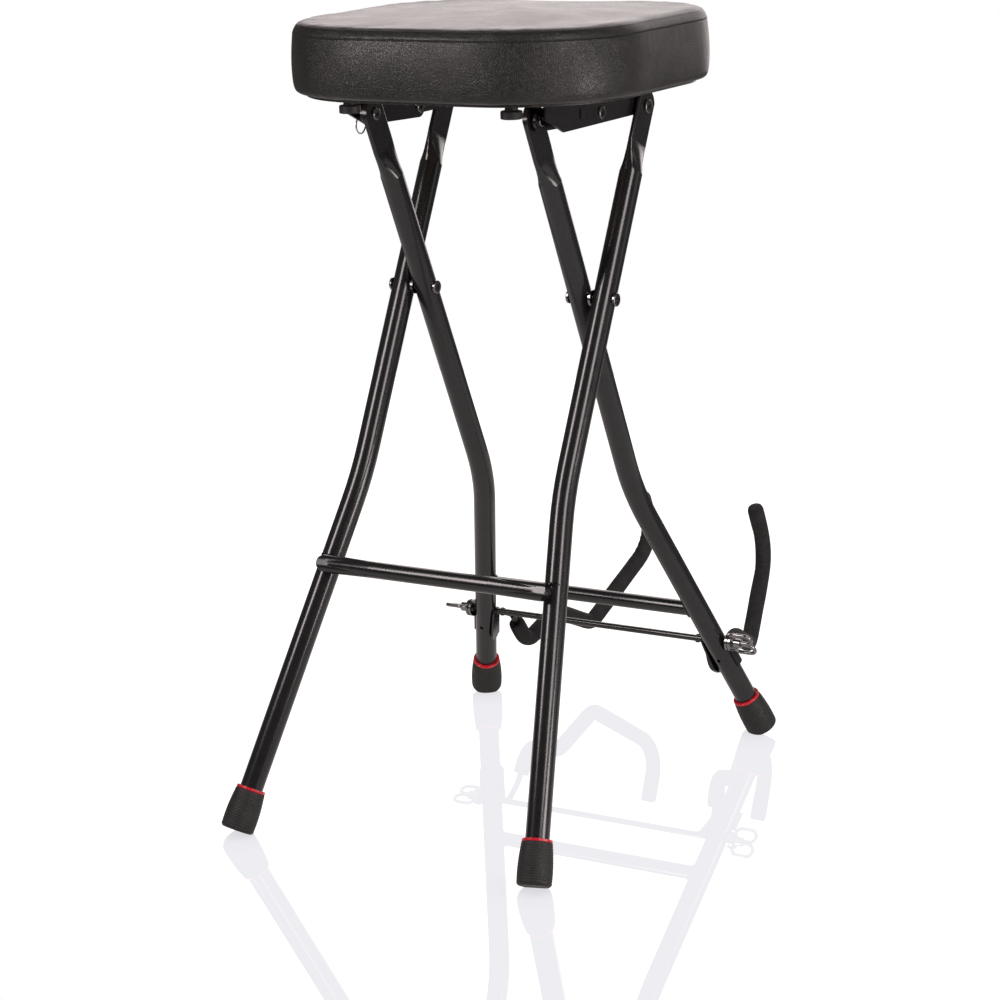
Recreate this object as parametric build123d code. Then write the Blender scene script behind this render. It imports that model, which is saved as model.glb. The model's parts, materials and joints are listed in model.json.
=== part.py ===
"""Folding guitar stool: a padded seat on two crossed tube frames, with a fold-out guitar cradle.

X runs across the stool, +Y towards the cradle at the back, +Z up. All lengths are millimetres.
Every solid is modelled about the middle of the four floor points and shifted at the end, so
that the origin lies under the middle of the whole stool.
"""

from build123d import *
import math
import os

# Clearances
body_gap = 0.3
running_gap = 0.05
weld_gap = 0.02
overrun = 4.0

# Frame tubes
tube_diameter = 22.2
tube_wall = 1.5
flat_thickness = 5.0
flat_length = 37.0
crimp_length = 30.0
round_corner_angle = 60.0
inner_plane = 85.3
outer_plane = 110.3

# Rear-foot legs: pivot at the top, bend, and the axis point on the floor; their pivots stand
# rear_top_rise above those of the front-foot legs
rear_top_y = -67.9
rear_top_rise = 6.5
rear_bend_y = 114.2
rear_bend_z = 277.9
rear_floor_x = 166.8
rear_floor_y = 243.3
rear_bend_radius = 250.0

# Front-foot legs
front_top_y = 104.2
front_top_z = 660.6
front_bend_y = -74.5
front_bend_z = 320.7
front_floor_x = 162.6
front_floor_y = -243.3
front_bend_radius = 400.0

# Crossbars
front_bar_diameter = 16.0
front_bar_height = 245.3
front_bar_overhang = 2.0
front_bar_flat_thickness = 13.0
front_bar_flat_length = 10.0
front_bar_press_length = 50.0
rear_bar_diameter = 15.0
rear_bar_height = 143.8
bar_wall = 1.2

# Rubber feet and their rings
foot_height = 39.5
foot_top_radius = 14.2
foot_widest_radius = 16.4
foot_widest_share = 0.3
foot_bottom_radius = 15.9
foot_edge_radius = 3.5
foot_floor_press = 2.0
foot_sole = 8.0
foot_rib_count = 14
foot_rib_depth = 0.22
rib_middle_share = 0.5
edge_share = 0.95
foot_plain_height = 3.0
ring_height = 2.9
ring_radius = 14.1
ring_edge_radius = 0.9

# Rivets and washers
cross_pin_radius = 4.0
cross_head_radius = 6.5
head_height = 2.4
head_edge_radius = 0.9
rivet_eye_share = 0.45
rivet_eye_depth = 1.8
top_pin_radius = 3.5
top_head_radius = 6.0
top_head_height = 2.2
washer_radius = 8.0
seat_washer_thickness = 0.7

# Seat outline, seen from above
seat_width = 354.7
seat_front_y = -144.75
seat_back_y = 179.75
front_corner_radius = 117.0
back_corner_radius = 92.0
neck_notch_depth = 15.1

# Seat cushion and board
leg_top_clearance = 2.1
board_thickness = 12.0
board_inset = 14.0
cushion_lift = 0.8
cushion_height = 69.5
cushion_crown_radius = 3600.0
cushion_top_edge_radius = 2.5
# Each pair is a share of the cushion height and how far the side is drawn in there, as a share
# of the largest draw-in
cushion_side_draw = 15.0
cushion_side_shares = [(0.0, 0.42), (0.09, 0.15), (0.27, 0.02), (0.5, 0.0), (0.74, 0.1), (0.87, 0.28), (1.0, 1.0)]

# Seat brackets
sheet = 2.0
bracket_web_width = 28.0
bracket_front_y = -83.0
bracket_back_margin = 14.0
bracket_bottom_margin = 6.5
bracket_nose_height = 15.0
bracket_nose_length = 33.0
bracket_bend_radius = 3.0
bracket_slot_y = -18.4
bracket_slot_width = 2.5
bracket_slot_height = 10.5
bracket_slot_margin = 8.5
bracket_screw_count = 3
bracket_screw_first_y = -33.7
bracket_screw_pitch = 62.0
bracket_screw_share = 0.62
screw_radius = 2.0
screw_head_radius = 4.2
screw_head_height = 2.0
screw_head_edge_radius = 0.7
screw_length = 10.0

# Fold links
link_thickness = 3.0
link_half_height = 10.5
link_pivot_y = 22.26

# Rubber bumpers under the seat
bumper_y = -107.0
bumper_radius = 10.0
bumper_height = 7.5
bumper_neck_radius = 6.0
bumper_neck_height = 5.5
bumper_edge_radius = 1.2

# Lock pin in the left bracket, with its spring and pull ring
lock_y = -50.7
lock_rise = 1.1
lock_z = front_top_z + lock_rise
lock_radius = 3.0
lock_collar_radius = 4.6
lock_collar_length = 1.5
lock_tip_gap = 0.5
lock_tail_length = 7.0
lock_eye_radius = 1.5
lock_eye_setback = 3.2
spring_radius = 4.4
pull_ring_radius = 8.0
pull_ring_wire_radius = 0.75

# Cradle rod, which passes through the rear-foot legs, with its arms and their foam
rod_radius = 3.3
rod_z = 107.5
arm_radius = 3.4
arm_spread = 115.2
# Each row is one corner of the arm after the rod: its distance from the middle of the stool, and
# the run and rise from the corner before
arm_corners = [
    (118.6, 26.4, -10.3),
    (113.8, 21.7, -37.2),
    (108.2, 55.6, 20.5),
    (96.5, 60.4, -28.9),
    (69.6, 104.4, 73.8),
    (69.1, -27.2, 57.2),
]
arm_bend_radii = [12.0, 15.0, 16.0, 13.0, 40.0]
foam_radius = 8.8
foam_setback = 12.0
foam_end = 5.0
foam_edge_radius = 1.5

# Saddles: clips round the backs of the rear-foot legs that the rod turns in. Heights are taken
# along the leg from the rod, and depths from the leg's axis towards the back
saddle_bend_radius = 9.0
saddle_front = -2.0
strap_top = -14.0
strap_bottom = -34.0
strap_rivet_level = -18.5
eye_radius = 6.8
cheek_radius = 8.0
cheek_front = -2.5
cheek_level = -28.0
saddle_rivet_radius = 2.0
saddle_rivet_head_radius = 4.0
saddle_rivet_head_height = 1.4

# Looped wing nuts on the rod
nut_thread_length = 13.0
nut_nose_radius = 5.0
nut_collar_radius = 9.0
nut_collar_length = 6.0
nut_neck_radius = 5.0
nut_neck_length = 8.5
nut_groove_depth = 0.8
nut_groove_width = 1.6
loop_reach = 17.3
loop_half_length = 11.5
loop_half_width = 6.5
loop_offset = 7.8
loop_wire_radius = 2.0
loop_turn_angle = 127.0
left_loop_turn_angle = 163.0

tube_radius = tube_diameter / 2
across = Vector(1, 0, 0)
back = Vector(0, 1, 0)
up = Vector(0, 0, 1)


def vector(x, y, z):
    return Vector(x, y, z)


def crossing(a, b, c, d):
    """Where the line from a to b meets the line from c to d, as (y, z) pairs."""
    abx = b[0] - a[0]
    aby = b[1] - a[1]
    cdx = d[0] - c[0]
    cdy = d[1] - c[1]
    t = ((c[0] - a[0]) * cdy - (c[1] - a[1]) * cdx) / (abx * cdy - aby * cdx)
    return a[0] + t * abx, a[1] + t * aby


def rod_along(start, direction, radius, length):
    """A plain cylinder from a point along a direction."""
    return extrude(Plane(origin=start, z_dir=direction) * Circle(radius), length)


def across_disc(x, y, z, radius, length):
    """A disc or pin along X that starts at x."""
    return rod_along(vector(x, y, z), across, radius, length)


def domed_head(x, y, z, radius, height, outward):
    """A rivet head that stands on the plane X = x; its outer edge is rounded and its middle is hollow."""
    head = extrude(Plane(origin=vector(x, y, z), z_dir=across * outward) * Circle(radius), height)
    rim = head.edges().sort_by(Axis.X)[-1 if outward > 0 else 0]
    head = fillet(rim, head_edge_radius)
    eye = Plane(origin=vector(x + outward * height, y, z), z_dir=across * outward)
    return head - extrude(eye * Circle(radius * rivet_eye_share), -rivet_eye_depth)


def mirrored(shape):
    return mirror(shape, about=Plane.YZ)


# Legs


def section(frame, half_line_x, half_line_y, reach_x, reach_y):
    """A four-sided section: two sides that bulge to reach_x and two round ends to reach_y."""
    corner = [
        (half_line_x, -half_line_y),
        (half_line_x, half_line_y),
        (-half_line_x, half_line_y),
        (-half_line_x, -half_line_y),
    ]
    if reach_x > half_line_x:
        right = ThreePointArc(corner[0], (reach_x, 0), corner[1])
        left = ThreePointArc(corner[2], (-reach_x, 0), corner[3])
    else:
        right = Line(corner[0], corner[1])
        left = Line(corner[2], corner[3])
    top = ThreePointArc(corner[1], (0, reach_y), corner[2])
    bottom = ThreePointArc(corner[3], (0, -reach_y), corner[0])
    return frame * make_face([right, top, left, bottom])


def round_section(frame, radius):
    corner = math.radians(round_corner_angle)
    return section(frame, radius * math.cos(corner), radius * math.sin(corner), radius, radius)


def flat_section(frame, width, thickness):
    return section(frame, thickness / 2, (width - thickness) / 2, thickness / 2, width / 2)


def pressed_width(diameter, thickness):
    """The width of a round tube pressed to a thickness, at the same girth."""
    return thickness + math.pi * (diameter - thickness) / 2


flat_width = pressed_width(tube_diameter, flat_thickness)
rear_top_z = front_top_z + rear_top_rise
seat_underside = rear_top_z + flat_width / 2 + leg_top_clearance


def leg_form(top, bend, foot, bend_radius, diameter, width, thickness):
    """The outside or the inside of one leg: pressed top, crimp and bent tube."""
    down = (bend - top).normalized()
    crimp = Plane(origin=top + down * flat_length, x_dir=across, z_dir=-down)
    round_start = Plane(origin=top + down * (flat_length + crimp_length), x_dir=across, z_dir=-down)
    side = Plane(origin=top, x_dir=down, z_dir=across)
    bar = extrude(flat_section(crimp, width, thickness), flat_length + width)
    reach = Pos(flat_length / 2, 0) * Rectangle(flat_length, width + overrun)
    rounded = extrude(side * (Circle(width / 2) + reach), thickness, both=True)
    press = loft([flat_section(crimp, width, thickness), round_section(round_start, diameter / 2)])
    path = FilletPolyline(round_start.origin, bend, foot, radius=bend_radius)
    tube = sweep(Plane(origin=path @ 0, x_dir=across, z_dir=path % 0) * Circle(diameter / 2), path=path)
    return (bar & rounded) + press + tube


def leg(top, bend, floor, bend_radius, end):
    """One leg, hollow down to its cut end inside the rubber foot."""
    outside = leg_form(top, bend, end, bend_radius, tube_diameter, flat_width, flat_thickness)
    beyond = end + (floor - bend).normalized() * overrun
    walls = 2 * tube_wall
    inside = leg_form(
        top, bend, beyond, bend_radius, tube_diameter - walls, flat_width - walls, flat_thickness - walls
    )
    return outside - inside


rear_top = vector(inner_plane, rear_top_y, rear_top_z)
rear_bend = vector(inner_plane, rear_bend_y, rear_bend_z)
rear_floor = vector(rear_floor_x, rear_floor_y, 0)
front_top = vector(outer_plane, front_top_y, front_top_z)
front_bend = vector(outer_plane, front_bend_y, front_bend_z)
front_floor = vector(front_floor_x, front_floor_y, 0)

cross_y, cross_z = crossing(
    (rear_top_y, rear_top_z), (rear_bend_y, rear_bend_z), (front_top_y, front_top_z), (front_bend_y, front_bend_z)
)


def foot_start(bend, floor):
    """The middle of the foot's sole: its rounded low edge presses foot_floor_press into the floor."""
    rise = (bend - floor).normalized()
    lean = math.acos(rise.Z)
    sole_radius = foot_bottom_radius - foot_edge_radius
    low_edge = sole_radius * math.sin(lean) + foot_edge_radius * (1 - math.cos(lean))
    lift = (low_edge - foot_floor_press) / math.cos(lean)
    return floor + rise * lift, rise


def foot_radius(height):
    """The barrel shape of a foot: widest low down, drawn in to both ends."""
    widest_height = foot_height * foot_widest_share
    if height < widest_height:
        share = (widest_height - height) / widest_height
        return foot_widest_radius - (foot_widest_radius - foot_bottom_radius) * share**2
    share = (height - widest_height) / (foot_height - widest_height)
    return foot_widest_radius - (foot_widest_radius - foot_top_radius) * share**2


def foot(bend, floor):
    """A barrel-shaped rubber foot with fine ribs, a socket for the tube and a small flat on the floor."""
    start, rise = foot_start(bend, floor)
    rib_room = foot_height - foot_plain_height - foot_edge_radius
    step = rib_room / foot_rib_count
    points = [(0, 0), (foot_bottom_radius, 0), (foot_radius(foot_edge_radius), foot_edge_radius)]
    for rib in range(foot_rib_count):
        middle = foot_edge_radius + (rib + rib_middle_share) * step
        high = foot_edge_radius + (rib + 1) * step
        points.append((foot_radius(middle) - foot_rib_depth, middle))
        points.append((foot_radius(high), high))
    points.append((foot_top_radius, foot_height))
    points.append((0, foot_height))
    body = revolve(Plane.XZ * make_face(Polyline(*points, close=True)), Axis.Z)
    sole_rim = body.edges().filter_by(GeomType.CIRCLE).sort_by(Axis.Z)[0]
    body = fillet(sole_rim, foot_edge_radius * edge_share)
    socket = Pos(0, 0, foot_sole) * extrude(Circle(tube_radius + running_gap), foot_height)
    placed = Plane(origin=start, z_dir=rise).location * (body - socket)
    below = extrude(Plane.XY * Rectangle(2 * seat_width, 2 * seat_width), -foot_height)
    return placed - below


def foot_ring(bend, floor):
    """The thin collar between the foot and the tube."""
    start, rise = foot_start(bend, floor)
    ring = extrude(Circle(ring_radius) - Circle(tube_radius + running_gap), ring_height)
    rim = ring.edges().filter_by(GeomType.CIRCLE).sort_by(SortBy.RADIUS)[-2:]
    ring = fillet(rim, ring_edge_radius)
    return Plane(origin=start + rise * foot_height, z_dir=rise).location * ring


def tube_end(bend, floor):
    start, rise = foot_start(bend, floor)
    return start + rise * foot_sole


# Frame at one rod saddle: u points outboard, v towards the back, w up the leg from the rod
leg_rise = (rear_bend - rear_floor).normalized()
from_leg = across.cross(leg_rise).normalized() * -1
saddle_middle = rear_floor + leg_rise * (rod_z / leg_rise.Z)
rod_y = saddle_middle.Y
outboard = from_leg.cross(leg_rise).normalized()


def in_saddle(u, v, w):
    return saddle_middle + outboard * u + from_leg * v + leg_rise * w


def beside_leg(radius):
    """How far along the rod from the leg's axis a flat disc of this radius stands clear of the leg."""
    lean = abs(leg_rise.X)
    return (tube_radius + radius * lean) / math.sqrt(1 - lean**2) + body_gap


nut_start = saddle_middle.X + beside_leg(nut_nose_radius)
nut_collar_start = saddle_middle.X + beside_leg(nut_collar_radius)
rod_half_length = nut_start + nut_thread_length


rear_leg = leg(rear_top, rear_bend, rear_floor, rear_bend_radius, tube_end(rear_bend, rear_floor))
front_leg = leg(front_top, front_bend, front_floor, front_bend_radius, tube_end(front_bend, front_floor))

reach_in = inner_plane - tube_radius - overrun
reach_length = outer_plane + tube_radius + overrun - reach_in
pin_hole = across_disc(reach_in, cross_y, cross_z, cross_pin_radius + running_gap, reach_length)
rear_top_hole = across_disc(reach_in, rear_top_y, rear_top_z, top_pin_radius + running_gap, reach_length)
front_top_hole = across_disc(reach_in, front_top_y, front_top_z, cross_pin_radius + running_gap, reach_length)
saddle_hole = rod_along(
    in_saddle(0, -tube_radius - overrun, strap_rivet_level),
    from_leg,
    saddle_rivet_radius + running_gap,
    2 * tube_radius + 2 * overrun,
)
rod_hole = across_disc(0, rod_y, rod_z, rod_radius + running_gap, rod_half_length)
rear_leg = rear_leg - pin_hole - rear_top_hole - saddle_hole - rod_hole
front_leg = front_leg - pin_hole - front_top_hole

# Crossbars


def front_bar():
    """The footrest: a tube whose ends are pressed flat against the fronts of the legs."""
    fall = (front_floor - front_bend).normalized()
    t = (front_bar_height - front_bend.Z) / fall.Z
    on_leg = front_bend + fall * t
    normal = across.cross(fall).normalized()
    stand_off = tube_radius + front_bar_flat_thickness / 2 + weld_gap
    axis_y = on_leg.Y - stand_off / abs(normal.Y)
    half_length = on_leg.X + front_bar_overhang
    wide = vector(0, normal.Z, -normal.Y)
    width = pressed_width(front_bar_diameter, front_bar_flat_thickness)

    def form(diameter, flat_wide, flat_thick, end_cut):
        end = half_length - end_cut
        press_at = half_length - front_bar_flat_length
        round_at = press_at - front_bar_press_length

        def frame(x):
            return Plane(origin=vector(x, axis_y, front_bar_height), x_dir=normal, z_dir=across)

        middle = extrude(round_section(frame(0), diameter / 2), round_at)
        press = loft([round_section(frame(round_at), diameter / 2), flat_section(frame(press_at), flat_wide, flat_thick)])
        flat = extrude(flat_section(frame(press_at), flat_wide, flat_thick), end - press_at)
        nose_plane = Plane(origin=vector(end - flat_wide / 2, axis_y, front_bar_height), x_dir=across, z_dir=normal)
        nose = Circle(flat_wide / 2) + Pos(-flat_wide, 0) * Rectangle(2 * flat_wide, flat_wide + overrun)
        flat = flat & extrude(nose_plane * nose, flat_thick, both=True)
        half = middle + press + flat
        return half + mirrored(half)

    outside = form(front_bar_diameter, width, front_bar_flat_thickness, 0)
    inside = form(
        front_bar_diameter - 2 * bar_wall, width - 2 * bar_wall, front_bar_flat_thickness - 2 * bar_wall, bar_wall
    )
    return outside - inside


def rear_bar():
    """A straight tube between the rear-foot legs, with its ends shaped to the tubes."""
    share = (rear_bend_z - rear_bar_height) / rear_bend_z
    y = rear_bend_y + (rear_floor_y - rear_bend_y) * share
    x = inner_plane + (rear_floor_x - inner_plane) * share
    start = vector(-x, y, rear_bar_height)
    bar = rod_along(start, across, rear_bar_diameter / 2, 2 * x)
    bore = rod_along(start, across, rear_bar_diameter / 2 - bar_wall, 2 * x)
    solid_leg = rod_along(rear_floor, leg_rise, tube_radius + weld_gap, (rear_bend - rear_floor).length)
    return bar - bore - solid_leg - mirrored(solid_leg)


# Rivets and washers


def cross_rivet():
    """The rivet that both legs of one side turn on, with a head at each end."""
    inner = inner_plane - tube_radius
    outer = outer_plane + tube_radius + body_gap
    shaft = across_disc(inner, cross_y, cross_z, cross_pin_radius, outer - inner)
    inner_head = domed_head(inner, cross_y, cross_z, cross_head_radius, head_height, -1)
    outer_head = domed_head(outer, cross_y, cross_z, cross_head_radius, head_height, 1)
    return shaft + inner_head + outer_head


def cross_washer():
    start = inner_plane + tube_radius
    length = outer_plane - tube_radius - body_gap - start
    disc = across_disc(start, cross_y, cross_z, washer_radius, length)
    return disc - across_disc(start, cross_y, cross_z, cross_pin_radius + running_gap, length)


leg_face_in = inner_plane - flat_thickness / 2
leg_face_out = inner_plane + flat_thickness / 2
link_start = leg_face_out + top_head_height + body_gap
link_end = link_start + link_thickness
front_face_in = outer_plane - flat_thickness / 2
front_face_out = outer_plane + flat_thickness / 2
bracket_out = front_face_in - body_gap - seat_washer_thickness
bracket_in = bracket_out - sheet


def leg_top_rivet():
    """The leg's half of the rivet at the top of a rear-foot leg."""
    shaft = across_disc(leg_face_in, rear_top_y, rear_top_z, top_pin_radius, flat_thickness)
    inner_head = domed_head(leg_face_in, rear_top_y, rear_top_z, top_head_radius, top_head_height, -1)
    outer_head = across_disc(leg_face_out, rear_top_y, rear_top_z, top_head_radius, top_head_height)
    return shaft + inner_head + outer_head


def seat_rivet():
    """The rivet that the seat bracket turns on at the top of a front-foot leg."""
    outer = front_face_out + body_gap
    shaft = across_disc(bracket_in, front_top_y, front_top_z, cross_pin_radius, outer - bracket_in)
    inner_head = domed_head(bracket_in, front_top_y, front_top_z, cross_head_radius, head_height, -1)
    outer_head = domed_head(outer, front_top_y, front_top_z, cross_head_radius, head_height, 1)
    return shaft + inner_head + outer_head


def seat_washer():
    disc = across_disc(bracket_out, front_top_y, front_top_z, washer_radius, seat_washer_thickness)
    return disc - across_disc(
        bracket_out, front_top_y, front_top_z, cross_pin_radius + running_gap, seat_washer_thickness
    )


# The link pivot lies on the line between the two leg tops, so the link and bracket lock in line
link_share = (link_pivot_y - rear_top_y) / (front_top_y - rear_top_y)
link_pivot_z = rear_top_z + (front_top_z - rear_top_z) * link_share


def link():
    """A flat bar with round ends from the bracket to the top of a rear-foot leg."""
    start = vector(link_start, rear_top_y, rear_top_z)
    end = vector(link_start, link_pivot_y, link_pivot_z)
    run = end - start
    frame = Plane(origin=start + run / 2, x_dir=run.normalized(), z_dir=across)
    bar = extrude(frame * SlotCenterToCenter(run.length, 2 * link_half_height), link_thickness)
    hole = top_pin_radius + running_gap
    first = across_disc(link_start, rear_top_y, rear_top_z, hole, link_thickness)
    second = across_disc(link_start, link_pivot_y, link_pivot_z, hole, link_thickness)
    return bar - first - second


def link_head():
    """The link's half of the rivet at the top of a rear-foot leg."""
    stub = across_disc(link_start, rear_top_y, rear_top_z, top_pin_radius, link_thickness)
    return stub + domed_head(link_end, rear_top_y, rear_top_z, top_head_radius, top_head_height, 1)


def link_rivet():
    """The rivet that joins a link to its bracket, through a long spacer."""
    inner = link_start - body_gap
    shaft = across_disc(inner, link_pivot_y, link_pivot_z, top_pin_radius, bracket_out - inner)
    inner_head = domed_head(inner, link_pivot_y, link_pivot_z, top_head_radius, top_head_height, -1)
    outer_head = domed_head(bracket_out, link_pivot_y, link_pivot_z, top_head_radius, top_head_height, 1)
    return shaft + inner_head + outer_head


def link_spacer():
    start = link_end + body_gap
    length = bracket_in - start
    disc = across_disc(start, link_pivot_y, link_pivot_z, top_head_radius, length)
    return disc - across_disc(start, link_pivot_y, link_pivot_z, top_pin_radius + running_gap, length)


# Seat

seat_half = seat_width / 2
front_corner_x = seat_half - front_corner_radius
front_corner_y = seat_front_y + front_corner_radius
back_corner_x = seat_half - back_corner_radius
back_corner_y = seat_back_y - back_corner_radius
notch_bottom_y = seat_back_y - neck_notch_depth
notch_rise = notch_bottom_y - back_corner_y
notch_radius = (back_corner_x**2 + notch_rise**2 - back_corner_radius**2) / (2 * (back_corner_radius - notch_rise))
front_corner = vector(front_corner_x, front_corner_y, 0)
back_corner = vector(back_corner_x, back_corner_y, 0)
to_notch = (vector(0, notch_bottom_y + notch_radius, 0) - back_corner).normalized()


def seat_outline(inset, height):
    """The seat seen from above, drawn in by an inset: two lines of flank, four round corners, a
    straight front and a hollow in the back."""
    front_radius = front_corner_radius - inset
    back_radius = back_corner_radius - inset
    right = [
        front_corner - back * front_radius,
        front_corner + (across - back).normalized() * front_radius,
        front_corner + across * front_radius,
        back_corner + across * back_radius,
        back_corner + (across + to_notch).normalized() * back_radius,
        back_corner + to_notch * back_radius,
    ]
    left = [vector(-point.X, point.Y, 0) for point in right]
    loop = [
        Line(left[0], right[0]),
        ThreePointArc(right[0], right[1], right[2]),
        Line(right[2], right[3]),
        ThreePointArc(right[3], right[4], right[5]),
        ThreePointArc(right[5], back * (notch_bottom_y - inset), left[5]),
        ThreePointArc(left[5], left[4], left[3]),
        Line(left[3], left[2]),
        ThreePointArc(left[2], left[1], left[0]),
    ]
    return Pos(0, 0, height) * make_face(loop)


cushion_bottom = seat_underside + cushion_lift


def cushion():
    """Crowned top, bulging sides drawn in at the top seam and the lower edge, and a recess for the board."""
    levels = [
        seat_outline(cushion_side_draw * draw, cushion_bottom + cushion_height * share)
        for share, draw in cushion_side_shares
    ]
    block = loft(levels)
    crown_centre = cushion_bottom + cushion_height - cushion_crown_radius
    block = block & (Pos(0, 0, crown_centre) * Sphere(cushion_crown_radius))
    top_face = block.faces().sort_by(Axis.Z)[-1]
    block = fillet(top_face.edges(), cushion_top_edge_radius)
    recess_height = seat_underside + board_thickness + body_gap - cushion_bottom
    recess = extrude(seat_outline(board_inset - body_gap, cushion_bottom), recess_height)
    return block - recess


bracket_x_middle = bracket_out - bracket_web_width / 2
bracket_screw_x = bracket_out - bracket_web_width * bracket_screw_share


def bracket_screw_places():
    return [
        (bracket_screw_x, bracket_screw_first_y + bracket_screw_pitch * index) for index in range(bracket_screw_count)
    ]


def screw(x, y, head_top):
    """A pan-head wood screw driven upwards; head_top is where its head bears."""
    shaft = Pos(x, y, head_top) * extrude(Circle(screw_radius), screw_length)
    head = extrude(Circle(screw_head_radius), -screw_head_height)
    head = fillet(head.edges().sort_by(Axis.Z)[0], screw_head_edge_radius)
    return shaft + Pos(x, y, head_top) * head


def board():
    plate = extrude(seat_outline(board_inset, seat_underside), board_thickness)
    places = bracket_screw_places() + [(inner_plane, bumper_y)]
    for x, y in places:
        for side in (1, -1):
            plate -= Pos(side * x, y, seat_underside) * extrude(Circle(screw_radius + running_gap), screw_length)
    return plate


bracket_top = seat_underside
bracket_back_y = front_top_y + bracket_back_margin
bracket_bottom = front_top_z - bracket_bottom_margin


def bracket():
    """A folded plate: a web screwed under the board and a flange that carries the pivots."""
    web = extrude(
        Plane(origin=vector(bracket_x_middle, (bracket_front_y + bracket_back_y) / 2, bracket_top))
        * Rectangle(bracket_web_width, bracket_back_y - bracket_front_y),
        -sheet,
    )
    outline = Polyline(
        (bracket_front_y, bracket_top),
        (bracket_front_y, bracket_bottom + bracket_nose_height),
        (bracket_front_y + bracket_nose_length, bracket_bottom),
        (bracket_back_y, bracket_bottom),
        (bracket_back_y, bracket_top),
        close=True,
    )
    flange = extrude(Plane(origin=vector(bracket_in, 0, 0), x_dir=vector(0, 1, 0), z_dir=across) * make_face(outline), sheet)
    shape = web + flange
    bend = [
        edge
        for edge in shape.edges().filter_by(Axis.Y)
        if edge.length > bracket_web_width
        and abs(edge.center().X - bracket_out) < sheet / 2
        and abs(edge.center().Z - bracket_top) < sheet / 2
    ]
    shape = fillet(bend, bracket_bend_radius)
    slot_z = bracket_bottom + bracket_slot_margin + bracket_slot_height / 2
    slot_frame = Plane(origin=vector(bracket_in - overrun, bracket_slot_y, slot_z), x_dir=up, z_dir=across)
    shape -= extrude(slot_frame * SlotOverall(bracket_slot_height, bracket_slot_width), sheet + 2 * overrun)
    shape -= across_disc(bracket_in, front_top_y, front_top_z, cross_pin_radius + running_gap, sheet)
    shape -= across_disc(bracket_in, link_pivot_y, link_pivot_z, top_pin_radius + running_gap, sheet)
    for x, y in bracket_screw_places():
        shape -= Pos(x, y, bracket_top - sheet) * extrude(Circle(screw_radius + running_gap), sheet)
    return shape


def bumper():
    """A rubber bumper under the board, bored for its screw."""
    puck_top = seat_underside - bumper_neck_height
    puck = extrude(Circle(bumper_radius), -bumper_height)
    puck = fillet(puck.edges(), bumper_edge_radius)
    neck = extrude(Circle(bumper_neck_radius), bumper_neck_height)
    shape = Pos(inner_plane, bumper_y, puck_top) * (puck + neck)
    bore = extrude(Circle(screw_radius + running_gap), bumper_height + bumper_neck_height)
    bore = Pos(inner_plane, bumper_y, puck_top - bumper_height) * bore
    sink_depth = bumper_height - screw_head_height
    sink = Pos(inner_plane, bumper_y, puck_top - bumper_height) * extrude(
        Circle(screw_head_radius + running_gap), sink_depth
    )
    return shape - bore - sink


def bumper_screw():
    """Its head sits deep in the bumper, and its thread ends in the board."""
    head_top = seat_underside - bumper_neck_height - screw_head_height
    shaft_length = seat_underside - head_top + screw_length - overrun
    shaft = Pos(inner_plane, bumper_y, head_top) * extrude(Circle(screw_radius), shaft_length)
    head = Pos(inner_plane, bumper_y, head_top) * extrude(Circle(screw_head_radius), -screw_head_height)
    return shaft + head


# Lock pin, on the left

lock_tip = link_end + lock_tip_gap


def lock_pin():
    """A pin with a spring collar inside the bracket and an eye for the pull ring outside."""
    length = bracket_out + lock_tail_length - lock_tip
    shaft = across_disc(lock_tip, lock_y, lock_z, lock_radius, length)
    collar = across_disc(lock_tip + lock_collar_length, lock_y, lock_z, lock_collar_radius, lock_collar_length)
    eye_x = bracket_out + lock_tail_length - lock_eye_setback
    eye = rod_along(vector(eye_x, lock_y - 2 * lock_radius, lock_z), vector(0, 1, 0), lock_eye_radius, 4 * lock_radius)
    return shaft + collar - eye


def lock_spring():
    start = lock_tip + 2 * lock_collar_length + body_gap / 2
    length = bracket_in - body_gap / 2 - start
    tube = across_disc(start, lock_y, lock_z, spring_radius, length)
    return tube - across_disc(start, lock_y, lock_z, lock_radius + 2 * running_gap, length)


def pull_ring():
    eye_x = bracket_out + lock_tail_length - lock_eye_setback
    centre = Plane(origin=vector(eye_x, lock_y, lock_z - pull_ring_radius), z_dir=across)
    return centre.location * Torus(pull_ring_radius, pull_ring_wire_radius)


# Cradle


def arm_points():
    """The corners of one arm, from the middle of the rod to the tip."""
    y = rod_y
    z = rod_z
    points = [vector(arm_spread, y, z)]
    for x, run, rise in arm_corners:
        y += run
        z += rise
        points.append(vector(x, y, z))
    return points


def swept(points, radii, radius):
    path = FilletPolyline(*points, radius=radii)
    return sweep(Plane(origin=path @ 0, z_dir=path % 0) * Circle(radius), path=path)


def arm():
    """A bent wire welded to the rod, up to the closed end of its foam."""
    points = arm_points()
    tip = points[-1] + (points[-2] - points[-1]).normalized() * foam_end
    wire = swept(points[:-1] + [tip], arm_bend_radii, arm_radius)
    rod = across_disc(-rod_half_length, rod_y, rod_z, rod_radius + weld_gap, 2 * rod_half_length)
    return wire - rod


def foam():
    """A foam sleeve over the arm from its first corner on, closed at its tip."""
    points = arm_points()
    start = points[1] + (points[2] - points[1]).normalized() * foam_setback
    sleeve = swept([start] + points[2:], arm_bend_radii[1:], foam_radius)
    sleeve_tip = sleeve.faces().filter_by(GeomType.PLANE).sort_by(Axis.Z)[-1]
    sleeve = fillet(sleeve_tip.edges(), foam_edge_radius)
    tip = points[-1] + (points[-2] - points[-1]).normalized() * foam_end
    bore = swept(points[:-1] + [tip], arm_bend_radii, arm_radius + running_gap)
    return sleeve - bore


def cradle_rod():
    return across_disc(-rod_half_length, rod_y, rod_z, rod_radius, 2 * rod_half_length)


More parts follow.
